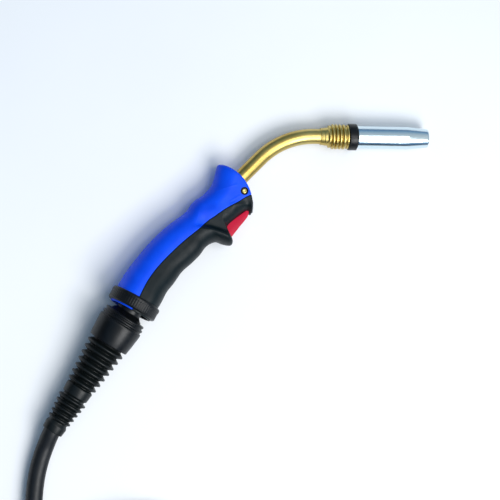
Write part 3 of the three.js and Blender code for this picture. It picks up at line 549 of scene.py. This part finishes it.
def make_head():
    profile = [(5.5, 8.1), (5.5, 8.9), (9.6, 9.2), (10.2, 9.6)]
    for x in FINS:
        tip, root = (11.9, 9.7) if x == FINS[0] else (13.2, 10.4)
        profile += [(x - 1.9, root), (x - 0.95, tip), (x + 0.75, tip), (x + 1.5, 10.4)]
    profile += [(33.2, 10.6), (33.5, 12.8), (35.3, 12.8), (35.3, 8.3), (24, 8.3), (24, 8.1)]
    head = lathe("cooling_head", profile, TORCH, radius=0.55)
    finish_piece(head, BRASS, "handle", ["finned_head"])

    ring = lathe("insulator_collar", [
        (35.6, 8.3), (35.6, 14), (44.4, 14), (44.4, 8.3),
    ], TORCH, radius=0.8)
    finish_piece(ring, BLACK, "handle", ["insulator_ring"])

    nozzle = lathe("nozzle_shell", [
        (45, 10.75), (45, 12), (96, 12), (100, 11.95), (109, 11.1), (121, 9.8), (121.9, 9.4), (121.9, 8.2),
        (104, 10.75),
    ], TORCH, segments=128, radius=1.1, steps=4)
    finish_piece(nozzle, CHROME, "nozzle", ["gas_nozzle"], crease=50)

    seat = lathe("nozzle_carrier", [
        (24.3, 5.3), (24.3, 8), (44.7, 8), (44.7, 10.4), (49, 10.4), (49, 9), (54.5, 9), (54.5, 10.4),
        (59, 9.8), (59, 5.3),
    ], TORCH, radius=0.3)
    finish_piece(seat, BRASS, "handle", ["nozzle_seat"])

    coil = []
    steps, radius = NOZZLE_SPRING["steps"], NOZZLE_SPRING["radius"]
    for i in range(steps + 1):
        turn = i / steps * NOZZLE_SPRING["turns"] * TAU
        x = NOZZLE_SPRING["start"] + NOZZLE_SPRING["length"] * i / steps
        coil.append((x, radius * math.cos(turn), radius * math.sin(turn)))
    spring = sweep("retaining_spring", coil, NOZZLE_SPRING["wire"], TORCH, 12)
    finish_piece(spring, STEEL, "handle", ["nozzle_spring"])

    holder = lathe("tip_adapter", [
        (43.7, 2.6), (43.7, 4.9), (59.3, 4.9), (59.3, 6.2), (65.5, 6.2), (65.5, 5.3), (78, 5.3),
        (78, 3.4), (69.5, 3.4), (69.5, 2.6),
    ], TORCH, radius=0.25)
    finish_piece(holder, BRASS, "handle", ["tip_holder"])

    tip = lathe("wire_tip", [
        (69.9, 0.7), (69.9, 3.1), (78.3, 3.1), (78.3, 4), (112, 4), (118, 2.6), (118, 0.7),
    ], TORCH, segments=64, radius=0.4)
    finish_piece(tip, COPPER, "handle", ["contact_tip"])

    diffuser = lathe("gas_outlet", [(66, 5.7), (66, 8.8), (79.5, 8.8), (79.5, 5.7)], TORCH, radius=0.5)
    for i in range(OUTLET_PORTS):
        port = TORCH @ moved(73, 0) @ Matrix.Rotation(i / OUTLET_PORTS * TAU, 4, "X")
        cut_with(diffuser, local_cylinder(1, 4, 10, 0, 0, port, 24))
    finish_piece(diffuser, CERAMIC, "handle", ["gas_diffuser"])


# -------------------- handle
STATIONS = [
    # back x, y, belly x, y, bulge, half width, seam depth
    (-209.1, -159.8, -167.3, -183.4, 0, 24, 23.4),
    (-204.8, -152.9, -162.9, -176.3, 0, 23.6, 22.5),
    (-198.8, -143.3, -157.4, -165.7, 0, 22.4, 22.0),
    (-188.7, -130.1, -150.2, -156.7, 0, 20.8, 21.4),
    (-176.7, -115.7, -141.5, -144.5, 0, 19.6, 22.1),
    (-162.3, -101.3, -131.0, -135.1, 0, 19, 22.3),
    (-150.3, -91.5, -123.0, -127.0, 0, 18.6, 21.9),
    (-142.5, -86.0, -117.5, -119.5, 0, 18.4, 21.3),
    (-137.2, -81.5, -112.0, -115.2, 0, 18.3, 21.4),
    (-132.5, -74.5, -105.5, -113.2, 0, 18.2, 23.6),
    (-127.5, -69.3, -98.5, -115.5, 0, 18.1, 24.6),
    (-122.5, -66.3, -91.0, -116.6, 0, 18, 24.4),
    (-119.8, -64.3, -88.3, -113.6, 0, 18, 24.3),
    (-117.8, -62.4, -90.3, -108.5, 0, 18, 24.6),
    (-115.6, -60.3, -93.4, -101.6, 0, 18, 25.3),
    (-112.5, -56.5, -93.0, -97.2, 1, 18, 26.6),
    (-109.5, -51.5, -86.8, -90.8, 3, 17.9, 29.2),
    (-107.4, -45.0, -80.0, -85.0, 6, 17.8, 34.7),
    (-105.8, -38.0, -75.0, -81.8, 8.5, 17.6, 40.0),
    (-104.2, -33.0, -71.5, -83.0, 10.5, 17.4, 43.5),
    (-100.8, -30.9, -69.0, -85.8, 11.5, 17.2, 43.6),
]
ROUNDING = {"back": 19, "belly": 17}
NOSE_FILLET = 2.6


class Station:
    """A cut across the handle at a place in the row of stations, whole or in between."""

    def __init__(self, place):
        ax, ay, bx, by, self.bulge, self.half, self.seam = catmull(STATIONS, place)
        self.back, self.belly = Vector((ax, ay)), Vector((bx, by))
        self.chord = (self.belly - self.back).length
        self.down = (self.belly - self.back) / self.chord
        self.ahead = Vector((-self.down.y, self.down.x))
        self.scale = min(1, (self.chord - 1) / (ROUNDING["back"] + ROUNDING["belly"]))

    def width(self, depth, inset=0):
        """Half width at a depth from the back."""
        top, bottom = ROUNDING["back"] * self.scale, ROUNDING["belly"] * self.scale
        start, end = inset, self.chord - inset
        if depth < start + top:
            part = 1 - (depth - start) / top
        elif depth > end - bottom:
            part = 1 - (end - depth) / bottom
        else:
            part = 0
        return (self.half - inset) * math.sqrt(max(0, 1 - min(1, part) ** 2))

    def point(self, depth, z, advance=0):
        middle = 2 * depth / self.chord - 1
        flat = self.back + self.down * depth
        flat += self.ahead * (self.bulge * (1 - middle * middle) + advance)
        return Vector((flat.x, flat.y, z))


def outline_of(station, start, end, inset=0, fine=60):
    """Dense (depth, z) points of a cut's side from one depth to another."""
    made = []
    for i in range(fine + 1):
        share = (1 - math.cos(i / fine * math.pi)) / 2
        depth = start + (end - start) * share
        made.append(Vector((depth, station.width(depth, inset))))
    return made


def spaced(points, places):
    """Points at the given lengths along a line, as (point, outward normal)."""
    sums = [0]
    for a, b in zip(points, points[1:]):
        sums.append(sums[-1] + (b - a).length)
    made, i = [], 0
    for place in places:
        target = place if place >= 0 else sums[-1] + place
        target = min(max(target, 0), sums[-1])
        while i < len(points) - 2 and sums[i + 1] < target:
            i += 1
        while i > 0 and sums[i] > target:
            i -= 1
        span = max(sums[i + 1] - sums[i], 1e-9)
        a, b = points[i], points[i + 1]
        p = a.lerp(b, (target - sums[i]) / span)
        ahead = (b - a).normalized()
        made.append((p, Vector((-ahead.y, ahead.x))))
    return made, sums[-1]


# how far in from a panel's edge each softening row lies, and how far it is let in
EDGE_ROWS = [(0.0, 0.55), (0.12, 0.3), (0.35, 0.1), (0.7, 0.0)]


def panel_places(length, columns):
    """Lengths along a cut for the grid's columns and how far each is let in at the panel's edges."""
    inner = [EDGE_ROWS[-1][0] + (length - 2 * EDGE_ROWS[-1][0]) * i / columns for i in range(1, columns)]
    rows = [(s, d) for s, d in EDGE_ROWS] + [(s, 0.0) for s in inner]
    rows += [(length - s, d) for s, d in reversed(EDGE_ROWS)]
    return rows


def distance_to(line, x, y):
    """Distance from a flat line of points, positive on its left, and the share of the way along it."""
    best, side, along = 1e9, 1, 0
    spans = len(line) - 1
    for i, ((ax, ay), (bx, by)) in enumerate(zip(line, line[1:])):
        dx, dy = bx - ax, by - ay
        t = min(1, max(0, ((x - ax) * dx + (y - ay) * dy) / (dx * dx + dy * dy)))
        px, py = x - ax - t * dx, y - ay - t * dy
        gap = math.hypot(px, py)
        if gap < best:
            best, along = gap, (i + t) / spans
            side = 1 if dx * (y - ay) - dy * (x - ax) > 0 else -1
    return best * side, along


# Lines of the relief in the torch's plane. The crest runs from the palm swell into the finger guard's lip.
CREST = [(-136, -97.5), (-129, -99.5), (-122, -100.4), (-113.8, -101.2), (-104.7, -103.8), (-95.6, -107.3),
         (-86, -112.5)]
HOOD_CREST = [(-96, -76.6), (-86, -74.6), (-77, -74), (-62, -74.4)]
THUMB_REST = [(-132, -89), (-116, -77.5), (-101, -68.5)]
SWELLS = [((-122, -120), 13, 1.1), ((-141, -139), 14, 0.9)]
RAISED_LINES = [
    [(-111.9, -62.6), (-97, -56.8), (-84.5, -53.2)],
    [(-94.1, -71.6), (-88.2, -68.1), (-82.3, -64.6)],
]
CREST_HEIGHT = 1.5
HOLLOW = {"drop": 4.4, "width": 5.5, "rise": 2.9, "start": 7, "back": 15}  # above the crest
HOOD_HEIGHT = 1.1
THUMB_DEPTH = 1.3
LINE_HEIGHT = 0.28


def hump(off, width):
    """A soft ridge across a line: 1 on it, falling away over the width."""
    return math.exp(-(off / width) ** 2)


def crest_height(x, y):
    """The crest's near side falls into a hollow that runs out again; its far side rolls off."""
    off, along = distance_to(CREST, x, y)
    fade = smoothstep(along * 2.6)
    if off > 0:
        hollow = HOLLOW["drop"] * smoothstep(off / HOLLOW["width"])
        recovery = HOLLOW["rise"] * smoothstep((off - HOLLOW["start"]) / HOLLOW["back"])
        return fade * (CREST_HEIGHT - hollow + recovery)
    return fade * (CREST_HEIGHT * hump(off, 7))


def relief(x, y):
    """How far the side stands proud of the plain cut at a place in the torch's plane."""
    total = crest_height(x, y)
    off, along = distance_to(HOOD_CREST, x, y)
    total += HOOD_HEIGHT * smoothstep(along * 4) * hump(off, 5 if off < 0 else 2.4)
    off, along = distance_to(THUMB_REST, x, y)
    total -= THUMB_DEPTH * hump(off, 7) * math.sin(math.pi * min(1, max(0, along))) ** 2
    for line in RAISED_LINES:
        off, along = distance_to(line, x, y)
        total += LINE_HEIGHT * hump(off, 0.55) * smoothstep(along * 8) * smoothstep((1 - along) * 8)
    for (cx, cy), size, height in SWELLS:
        total += height * math.exp(-((x - cx) ** 2 + (y - cy) ** 2) / size ** 2)
    return total


PANEL = {"rows": 260, "columns": {"shell": 60, "grip": 44}, "thickness": {"shell": 2.0, "grip": 1.5}}
PARTING_GAP = 0.08  # how far each half keeps from the parting plane
LET_IN_AT_PARTING = 0.45  # share of the seam's depth
REAR_PLACE = 0.02
FILLET_PLACE = 19.3
NECK_DEPTH = 26.0  # where the neck's axis leaves the nose face
HOLE = {"along": 8.75, "across": 8.4}
CAP_STEPS = 7
NOSE_DOME = 2.2
FOOT = {"outer": 0.87, "inner": 0.752}  # where the neck's hole ends on the parting plane, as shares


def nose_target(part, station):
    """Where a panel's nose face ends: the neck's hole and the parting plane, as (depth, z) points."""
    end = station.chord - NOSE_FILLET
    if part == "grip":
        return [Vector((station.seam + (end - station.seam) * i / 40, 0)) for i in range(41)]
    hole = []
    for i in range(41):
        turn = i / 40 * math.pi
        hole.append(Vector((NECK_DEPTH - HOLE["along"] * math.cos(turn), HOLE["across"] * math.sin(turn))))
    foot = hole[-1].x
    return hole + [Vector((foot + (station.seam - foot) * i / 10, 0)) for i in range(1, 11)]


def panel_rings(part, columns, rows):
    """Rings of points of a panel of the handle's left side, from its rear to the nose."""
    rings = []
    places = [REAR_PLACE + (FILLET_PLACE - REAR_PLACE) * i / rows for i in range(rows + 1)]
    cuts = [(place, 0.0) for place in places]
    cuts += [(FILLET_PLACE + 0.7 * math.sin(a), a) for a in [math.pi / 2 * k / 6 for k in range(1, 7)]]
    for place, turn in cuts:
        station = Station(place)
        inset = NOSE_FILLET * (1 - math.cos(turn))
        start, end = (inset, station.seam) if part == "shell" else (station.seam, station.chord - inset)
        outline = outline_of(station, start, end, inset)
        rings.append(ring_of(part, station, outline, columns, turn))
    nose = Station(20)
    start, end = ((NOSE_FILLET, nose.seam) if part == "shell"
                  else (nose.seam, nose.chord - NOSE_FILLET))
    outer = outline_of(nose, start, end, NOSE_FILLET, 200)
    target = nose_target(part, nose)
    for k in range(1, CAP_STEPS + 1):
        share = k / CAP_STEPS
        rings.append(cap_ring(part, nose, outer, target, share, columns))
    return rings


def let_in_of(part, length, columns):
    """Column places with their let-in: full at the seam, a share of it at the parting plane."""
    rows = panel_places(length, columns)
    made = []
    for s, depth in rows:
        near_start = s < length / 2
        at_seam = near_start if part == "grip" else not near_start
        made.append((s, depth * (1 if at_seam else LET_IN_AT_PARTING)))
    return made


def ring_of(part, station, outline, columns, turn):
    length = sum((b - a).length for a, b in zip(outline, outline[1:]))
    rows = let_in_of(part, length, columns)
    points, _ = spaced(outline, [s for s, _ in rows])
    ring = []
    for (p, normal), (_, depth) in zip(points, rows):
        flat = station.point(p.x, 0)
        lift = relief(flat.x, flat.y) * max(0, normal.y) ** 1.5 * math.cos(turn) - depth
        shift = lift * math.cos(turn)
        z = max(PARTING_GAP, p.y + normal.y * shift)
        ring.append(station.point(p.x + normal.x * shift, z, min(0, lift) * math.sin(turn)))
    return ring


def hole_share(part, share):
    """Share of the way along the nose face's inner edge that faces a share of its outer edge."""
    if part == "grip":
        return share
    if share < FOOT["outer"]:
        return share / FOOT["outer"] * FOOT["inner"]
    return FOOT["inner"] + (share - FOOT["outer"]) / (1 - FOOT["outer"]) * (1 - FOOT["inner"])


def cap_ring(part, nose, outer, target, share, columns):
    length, span = [sum((b - a).length for a, b in zip(line, line[1:])) for line in (outer, target)]
    grid = let_in_of(part, length, columns)
    a_points, _ = spaced(outer, [s for s, _ in grid])
    b_points, _ = spaced(target, [span * hole_share(part, s / length) for s, _ in grid])
    ring = []
    for (a, _), (b, _), (_, depth) in zip(a_points, b_points, grid):
        p = a.lerp(b, share)
        dome = NOSE_DOME * smoothstep((p.x - nose.seam) / 8) * smoothstep(share * 1.6)
        ring.append(nose.point(p.x, max(PARTING_GAP, p.y), dome - depth))
    return ring


def handle_panel(name, part, side):
    """A shell or grip of one side, as a skin thickened inwards."""
    rings = panel_rings(part, PANEL["columns"][part], PANEL["rows"])
    vertices, faces = [], []
    count = len(rings[0])
    for ring in rings:
        vertices += [(p.x, p.y, p.z * side) for p in ring]
    for i in range(len(rings) - 1):
        for k in range(count - 1):
            a = i * count + k
            face = (a, a + 1, a + 1 + count, a + count)
            faces.append(face if side < 0 else face[::-1])
    obj = new_object(name, vertices, faces, TORCH)
    face_out(obj, side)
    if part == "grip":
        open_slot(obj)
    tool = obj.modifiers.new("wall", "SOLIDIFY")
    tool.thickness = PANEL["thickness"][part] * MM
    tool.offset = -1
    tool.use_even_offset = False
    apply_modifiers(obj)
    return obj


def open_slot(obj):
    """Cuts the trigger's slot out of a panel's skin along the slot's own planes."""
    to_trigger = TRIGGER_FRAME.inverted() @ TORCH
    from_trigger = to_trigger.inverted()
    start, end, low, high = SLOT["start"], SLOT["end"], SLOT["low"], SLOT["high"]
    half = TRIGGER["slot"]
    tool = bmesh.new()
    tool.from_mesh(obj.data)

    def place_of(face):
        return to_trigger @ face.calc_center_median() / MM

    def in_search(place):
        (x_low, x_high), (y_low, y_high) = SLOT_SEARCH["x"], SLOT_SEARCH["y"]
        return x_low < place.x < x_high and y_low < place.y < y_high

    planes = [
        ((start, 0, 0), (1, 0, 0)), ((end, 0, 0), (1, 0, 0)), ((0, low, 0), (0, 1, 0)),
        ((0, 0, half), (0, 0, 1)), ((0, 0, -half), (0, 0, 1)),
    ]
    for point, normal in planes:
        near = [face for face in tool.faces if in_search(place_of(face))]
        parts = dict.fromkeys([v for f in near for v in f.verts] + [e for f in near for e in f.edges] + near)
        bmesh.ops.bisect_plane(
            tool, geom=list(parts), dist=1e-7, plane_co=from_trigger @ (Vector(point) * MM),
            plane_no=from_trigger.to_3x3() @ Vector(normal))
    doomed = []
    for face in tool.faces:
        place = place_of(face)
        if start < place.x < end and low < place.y < high and abs(place.z) < half:
            doomed.append(face)
    bmesh.ops.delete(tool, geom=doomed, context="FACES")
    tool.to_mesh(obj.data)
    tool.free()


def face_out(obj, side):
    """Turns an open panel's faces so that its flank looks out of its own side."""
    total = sum(p.normal.z * p.area for p in obj.data.polygons)
    if total * side < 0:
        obj.data.flip_normals()


def local_cylinder(radius, low, high, x, y, place, segments=48):
    """A cutter along the place's Z axis."""
    outline = [(x + radius * math.cos(k / segments * TAU), y + radius * math.sin(k / segments * TAU))
               for k in range(segments)]
    return extruded("cutter", outline, low, high, place)


def make_handle():
    for side, word in ((1, "left"), (-1, "right")):
        shell = handle_panel(f"handle_shell_{word}", "shell", side)
        if side > 0:
            cut_with(shell, local_cylinder(SCREW["recess"], 14.2, 30, SCREW["x"], SCREW["y"], TORCH))
            make_screw()
        finish_piece(shell, BLUE, "handle", [f"shell_{word}"], crease=50)
        grip = handle_panel(f"handle_grip_{word}", "grip", side)
        finish_piece(grip, GRIP, "handle", [f"grip_{word}"], crease=50)


def make_screw():
    place = TORCH @ moved(SCREW["x"], SCREW["y"]) @ Matrix.Rotation(-math.pi / 2, 4, "Y")
    # The well's lining is black: painted shade inside the screw's recess.
    well = lathe("screw_well", [
        (14, 0), (14, 4.15), (17.0, 4.15), (17.0, 3.7), (14.9, 3.7), (14.9, 0),
    ], place, radius=0.2, segments=64)
    finish_piece(well, BLACK, "handle")
    head = lathe("screw_head", [
        (15, 0), (15, 2.9), (16.2, 2.9), (16.9, 2.2), (17.05, 1.5), (16.2, 1.4), (16.2, 0),
    ], place, radius=0.25, segments=64)
    finish_piece(head, BRASS, "handle", ["handle_screw"])


def make_trigger():
    face = smooth_line([(33.0, -2.6), (34.8, 2.5), (34.6, 9.8)], 4)
    finger = smooth_line([
        (34.2, 11.4), (27, 9.6), (20, 7.9), (13.5, 6.6), (8.2, 5.2), (5.2, 3.7), (3.2, 1.8),
    ], 6)
    turns = [math.radians(40 + 28 * i) for i in range(11)]  # the long way round the hub, 40 to 320 degrees
    hub = [(TRIGGER["hub"] * math.cos(a), TRIGGER["hub"] * math.sin(a)) for a in turns]
    outline = [tuple(p) for p in face + finger + hub]
    lever = extruded("trigger_lever", outline, -TRIGGER["half_width"], TRIGGER["half_width"], TRIGGER_FRAME,
                     bevel=0.9)
    finish_piece(lever, RED, "trigger", ["trigger"], crease=60)


def make_return_spring():
    x, radius, foot = TRIGGER_SPRING["x"], TRIGGER_SPRING["radius"], TRIGGER_SPRING["foot"]
    line = []
    for i in range(TRIGGER_SPRING["steps"] + 1):
        share = i / TRIGGER_SPRING["steps"]
        angle = share * TRIGGER_SPRING["turns"] * TAU
        rise = foot + (TRIGGER_SPRING["head"] - foot) * share
        line.append((x + radius * math.cos(angle), rise, radius * math.sin(angle)))
    spring = sweep("return_spring", line, TRIGGER_SPRING["wire"], TRIGGER_FRAME, 10)
    finish_piece(spring, STEEL, "handle", ["trigger_spring"])
    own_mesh(spring)


def ring_arc(name, profile, start, end, place, segments=60):
    """Part of a ring about X, from one angle to another."""
    vertices, faces = [], []
    outline = rounded(profile, 0.4, 3, closed=True)
    size = len(outline)
    for k in range(segments + 1):
        turn = start + (end - start) * k / segments
        vertices += [(x, r * math.cos(turn), r * math.sin(turn)) for x, r in outline]
    for k in range(segments):
        for i in range(size):
            a, b = k * size + i, k * size + (i + 1) % size
            faces.append((a, b, b + size, a + size))
    faces.append(tuple(range(size)))
    faces.append(tuple(range(segments * size, (segments + 1) * size)))
    return new_object(name, vertices, faces, place)


def make_handle_rear():
    spigot = [(-6, 19.6), (-6, 22.1), (-1.7, 22.4), (-1.4, 23), (13.4, 23), (13.4, 20.6)]
    # The frame's +Y side lies towards the belly and its -Y side towards the back.
    gap = SPLIT["collar"]
    blue = ring_arc("spigot_back", spigot, TAU / 4 + gap, TAU * 3 / 4 - gap, HANDLE_REAR)
    finish_piece(blue, BLUE, "handle")
    black = ring_arc("spigot_belly", spigot, gap - TAU / 4, TAU / 4 - gap, HANDLE_REAR)
    finish_piece(black, GRIP, "handle")

    def ribbed(turn, x, r):
        if r < COLLAR_RIBS["root"]:
            return r
        groove = (0.5 + 0.5 * math.cos(turn * COLLAR_RIBS["count"])) ** 3
        fade_in = smoothstep((x - COLLAR_RIBS["start"]) / COLLAR_RIBS["fade"])
        fade_out = smoothstep((COLLAR_RIBS["end"] - x) / COLLAR_RIBS["fade"])
        return r - COLLAR_RIBS["depth"] * groove * fade_in * fade_out

    collar = lathe("turning_collar", [
        (-1.5, 23.3), (-1.5, 26.4), (-0.2, 27.1), (2.2, 27.2), (3, 26.8), (9.6, 26.8), (10.4, 27.0),
        (12, 25.6), (12, 23.3),
    ], HANDLE_REAR, segments=480, radius=0.7, wave=ribbed)
    finish_piece(collar, BLACK, "collar", ["locking_collar"])


# -------------------- cable support and bend protector
def make_support():
    ball = []
    for i in range(BALL["steps"] + 1):
        x = BALL["front"] + i * BALL["step"]
        ball.append((x, math.sqrt(BALL["radius"] ** 2 - x ** 2)))
    barrel = lathe("support_barrel", [
        *ball, (15.5, 13.3), (19.3, 17.4), (20.4, 18.2), (20.6, 22.2), (22.4, 22.7), (23.2, 21.5),
        (24.7, 21.9), (24.9, 23.2), (26.7, 23.5), (27.9, 22.1), (29.3, 22.5), (29.5, 23.8), (32, 24),
        (44, 23), (54.5, 21.7), (54.5, 16), (40.5, 16), (40.5, 9.6), (0, 9.6), (BALL["front"], 12.4),
    ], SUPPORT, segments=128, radius=0.7)
    finish_piece(barrel, BLACK, "support", ["cable_support"])


def make_boot():
    profile = [(41, 9.9), (41, 15.4), (55, 15.4), (55, 16.4)]
    for i in range(BOOT["ribs"]):
        x = BOOT["first"] + i * BOOT["pitch"]
        tip = 21 - 4.6 * i / (BOOT["ribs"] - 1)
        profile += [(x - 3.6, tip - 4.4), (x - 0.7, tip), (x + 0.7, tip), (x + 3.1, tip - 4.4)]
    profile += [(108, 14.4), (109, 14.9), (118.6, 14.2), (119.4, 12.4), (121, 12.2)]
    for i in range(BOOT["small_ribs"]):
        x = BOOT["small_first"] + i * BOOT["small_pitch"]
        tip = 15.8 - i * 0.75
        profile += [(x - 1.8, tip - 3), (x - 0.7, tip), (x + 0.7, tip), (x + 2.6, tip - 2.9)]
    profile += [(154, 11.9), (BOOT["end"], 11.1), (BOOT["end"], 9.9)]
    boot = lathe("bend_boot", profile, SUPPORT, segments=112, radius=0.9)
    finish_piece(boot, BOOT_RUBBER, "cable", ["bend_protector"])


# -------------------- machine-end plug
def make_plug():
    boot = lathe("plug_boot", [
        (0, 9.4), (0, 10.8), (8, 11.6), (10.5, 11.8), (10.5, 13.6), (13.5, 13.9), (13.5, 12.4),
        (17.5, 12.9), (17.5, 14.7), (20.5, 15), (20.5, 13.5), (24.5, 14), (24.5, 15.7), (27.5, 16),
        (27.5, 14.6), (32, 15.2), (45.7, 16.4), (45.7, 13.4), (56, 13.4), (56, 9.4),
    ], PLUG, radius=0.6)
    finish_piece(boot, BOOT_RUBBER, "cable", ["plug_bend_protector"])

    shell = [
        (46, 13.7), (46, 17.4), (49, 19), (56, 20.2), (84, 20.6), (98, 21.4), (104, 21.4), (104, 17),
        (64, 17), (64, 13.7),
    ]
    gap = SPLIT["plug"]
    for word, start, sign in (("upper", 0, 1), ("lower", math.pi, -1)):
        half = ring_arc(f"plug_cover_{word}", shell, start + gap, start + math.pi - gap, PLUG, 72)
        low, high = (18.6, 30) if sign > 0 else (-30, -18.6)
        cut_with(half, local_cylinder(3.2, low, high, 90, 0, PLUG, 40))
        finish_piece(half, BLACK, "cable", [f"plug_shell_{word}"], crease=40)
        place = PLUG @ moved(90, 0) @ Matrix.Rotation(-sign * math.pi / 2, 4, "Y")
        screw = lathe(f"cover_screw_{word}", [
            (16.8, 0), (16.8, 1.4), (18.9, 1.4), (18.9, 2.9), (19.9, 2.9), (20.2, 2.4), (20.2, 1.1),
            (19.6, 1.1), (19.6, 0),
        ], place, segments=48, radius=0.2)
        finish_piece(screw, STEEL, "cable", [f"plug_screw_{word}"])

    body = lathe("plug_core", [
        (57, 0), (57, 9), (66, 9), (66, 16.4), (104.3, 16.4), (104.3, 14.8), (112, 14.8), (112, 8.3),
        (98, 8.3), (98, 0),
    ], PLUG, radius=0.3)
    finish_piece(body, BRASS, "cable", ["plug_body"])

    nipple = lathe("wire_inlet", [
        (98.3, 2.2), (98.3, 8), (108, 8), (108, 6.3), (124, 6.3), (124, 5.2), (126.2, 5.2), (126.2, 6.3),
        (131, 6.1), (131, 2.2),
    ], PLUG, radius=0.3)
    finish_piece(nipple, BRASS, "cable", ["gas_nipple"])

    def fluted(turn, _, r):
        if r < FLUTES["root"]:
            return r
        phase = (turn * FLUTES["count"] / TAU + 0.5) % 1 - 0.5
        across = abs(phase) * TAU / FLUTES["count"] * FLUTES["radius"]
        dip = max(0, 1 - (across / FLUTES["half_width"]) ** 2)
        return r - FLUTES["depth"] * math.sqrt(dip)

    nut = lathe("hand_nut_ring", [
        (104.6, 15.2), (104.6, 23.4), (106, 24.6), (130, 24.6), (132, 23.4), (132, 19.6), (117, 19.6),
        (117, 16), (111, 16), (111, 15.2),
    ], PLUG, segments=320, radius=0.7, wave=fluted)
    finish_piece(nut, BLACK, "nut", ["hand_nut"])

    for word, sign in (("a", 1), ("b", -1)):
        pin = lathe(f"control_pin_{word}", [
            (115.5, 0), (115.5, 1.6), (122.6, 1.6), (124, 0.9), (124, 0),
        ], PLUG @ moved(0, sign * 11), segments=40, radius=0.4)
        finish_piece(pin, BRASS, f"pin_{word}", [f"contact_pin_{word}"])


# -------------------- CAD nodes that stay as they are
KEPT = {
    "neck_insulation": FIBRE, "neck_inner_tube": COPPER, "wire_liner": STEEL,
    "neck_nut": BRASS, "cable_fitting": BRASS, "trigger_pin": STEEL, "switch_body": BLACK,
    "switch_plunger": RED, "control_lead_a": LEAD, "control_lead_b": LEAD,
    "handle_cable": JACKET, "ball_seat": BLACK, "cable_core": JACKET, "plug_pin_face": BLACK,
    "o_ring": BOOT_RUBBER, "liner_nut": BRASS,
}


def paint_kept():
    for name, material in KEPT.items():
        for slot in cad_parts[name].material_slots:
            slot.material = material


# -------------------- floor and light
SKY = [  # the studio's colour from the horizon to overhead
    (0.0, (0.02, 0.025, 0.035)), (0.12, (0.04, 0.05, 0.07)), (0.32, (0.14, 0.3, 0.55)),
    (0.7, (0.4, 0.62, 0.86)), (1.0, (0.85, 0.93, 1.0)),
]
SKY_UP = (0.4, 0.15, 1)
SKY_STRENGTH = 0.65
BACKDROP = (0.8, 0.83, 0.86, 1)


def make_stage():
    bpy.ops.mesh.primitive_plane_add(size=12, location=(0, -0.15, -0.0006))
    floor = bpy.context.object
    floor.name = "floor"
    s = Shader("floor", 0.8, specular=0.1)
    s.colour(s.noise(3), [(0.3, (0.86, 0.86, 0.86)), (0.7, (0.9, 0.9, 0.9))])
    floor.data.materials.append(s.material)
    bpy.context.scene.view_settings.view_transform = "Standard"
    make_world()
    area_light("key", (0.62, -0.8, 1.5), (0, -0.05, 0), 1.0, 27)
    area_light("top", (0.5, 0.2, 2.2), (-0.05, 0, 0), 0.8, 10)


def make_world():
    """A studio that lights from dark at the horizon to white overhead, behind a pale backdrop."""
    world = bpy.data.worlds.new("studio")
    bpy.context.scene.world = world
    world.use_nodes = True
    tree = world.node_tree
    coords = tree.nodes.new("ShaderNodeTexCoord")
    slope = tree.nodes.new("ShaderNodeVectorMath")
    slope.operation = "DOT_PRODUCT"
    slope.inputs[1].default_value = SKY_UP
    tree.links.new(coords.outputs["Generated"], slope.inputs[0])
    light = tree.nodes["Background"]
    tree.links.new(colour_ramp(tree, slope.outputs["Value"], SKY), light.inputs["Color"])
    light.inputs["Strength"].default_value = SKY_STRENGTH
    backdrop = tree.nodes.new("ShaderNodeBackground")
    backdrop.inputs["Color"].default_value = BACKDROP
    path = tree.nodes.new("ShaderNodeLightPath")
    mix = tree.nodes.new("ShaderNodeMixShader")
    tree.links.new(path.outputs["Is Camera Ray"], mix.inputs[0])
    tree.links.new(light.outputs["Background"], mix.inputs[1])
    tree.links.new(backdrop.outputs["Background"], mix.inputs[2])
    tree.links.new(mix.outputs["Shader"], tree.nodes["World Output"].inputs["Surface"])


def area_light(name, place, target, size, power):
    data = bpy.data.lights.new(name, "AREA")
    data.size = size
    data.energy = power
    light = bpy.data.objects.new(name, data)
    light.location = place
    direction = Vector(target) - Vector(place)
    light.rotation_mode = "QUATERNION"
    light.rotation_quaternion = direction.to_track_quat("-Z", "Y")
    bpy.context.scene.collection.objects.link(light)


cable = make_cable()
ties = [make_tie(name, azimuth) for name, azimuth in TIE["azimuths"].items()]
make_neck()
make_head()
make_handle()
make_trigger()
make_return_spring()
make_handle_rear()
make_support()
make_boot()
make_plug()
paint_kept()
make_stage()
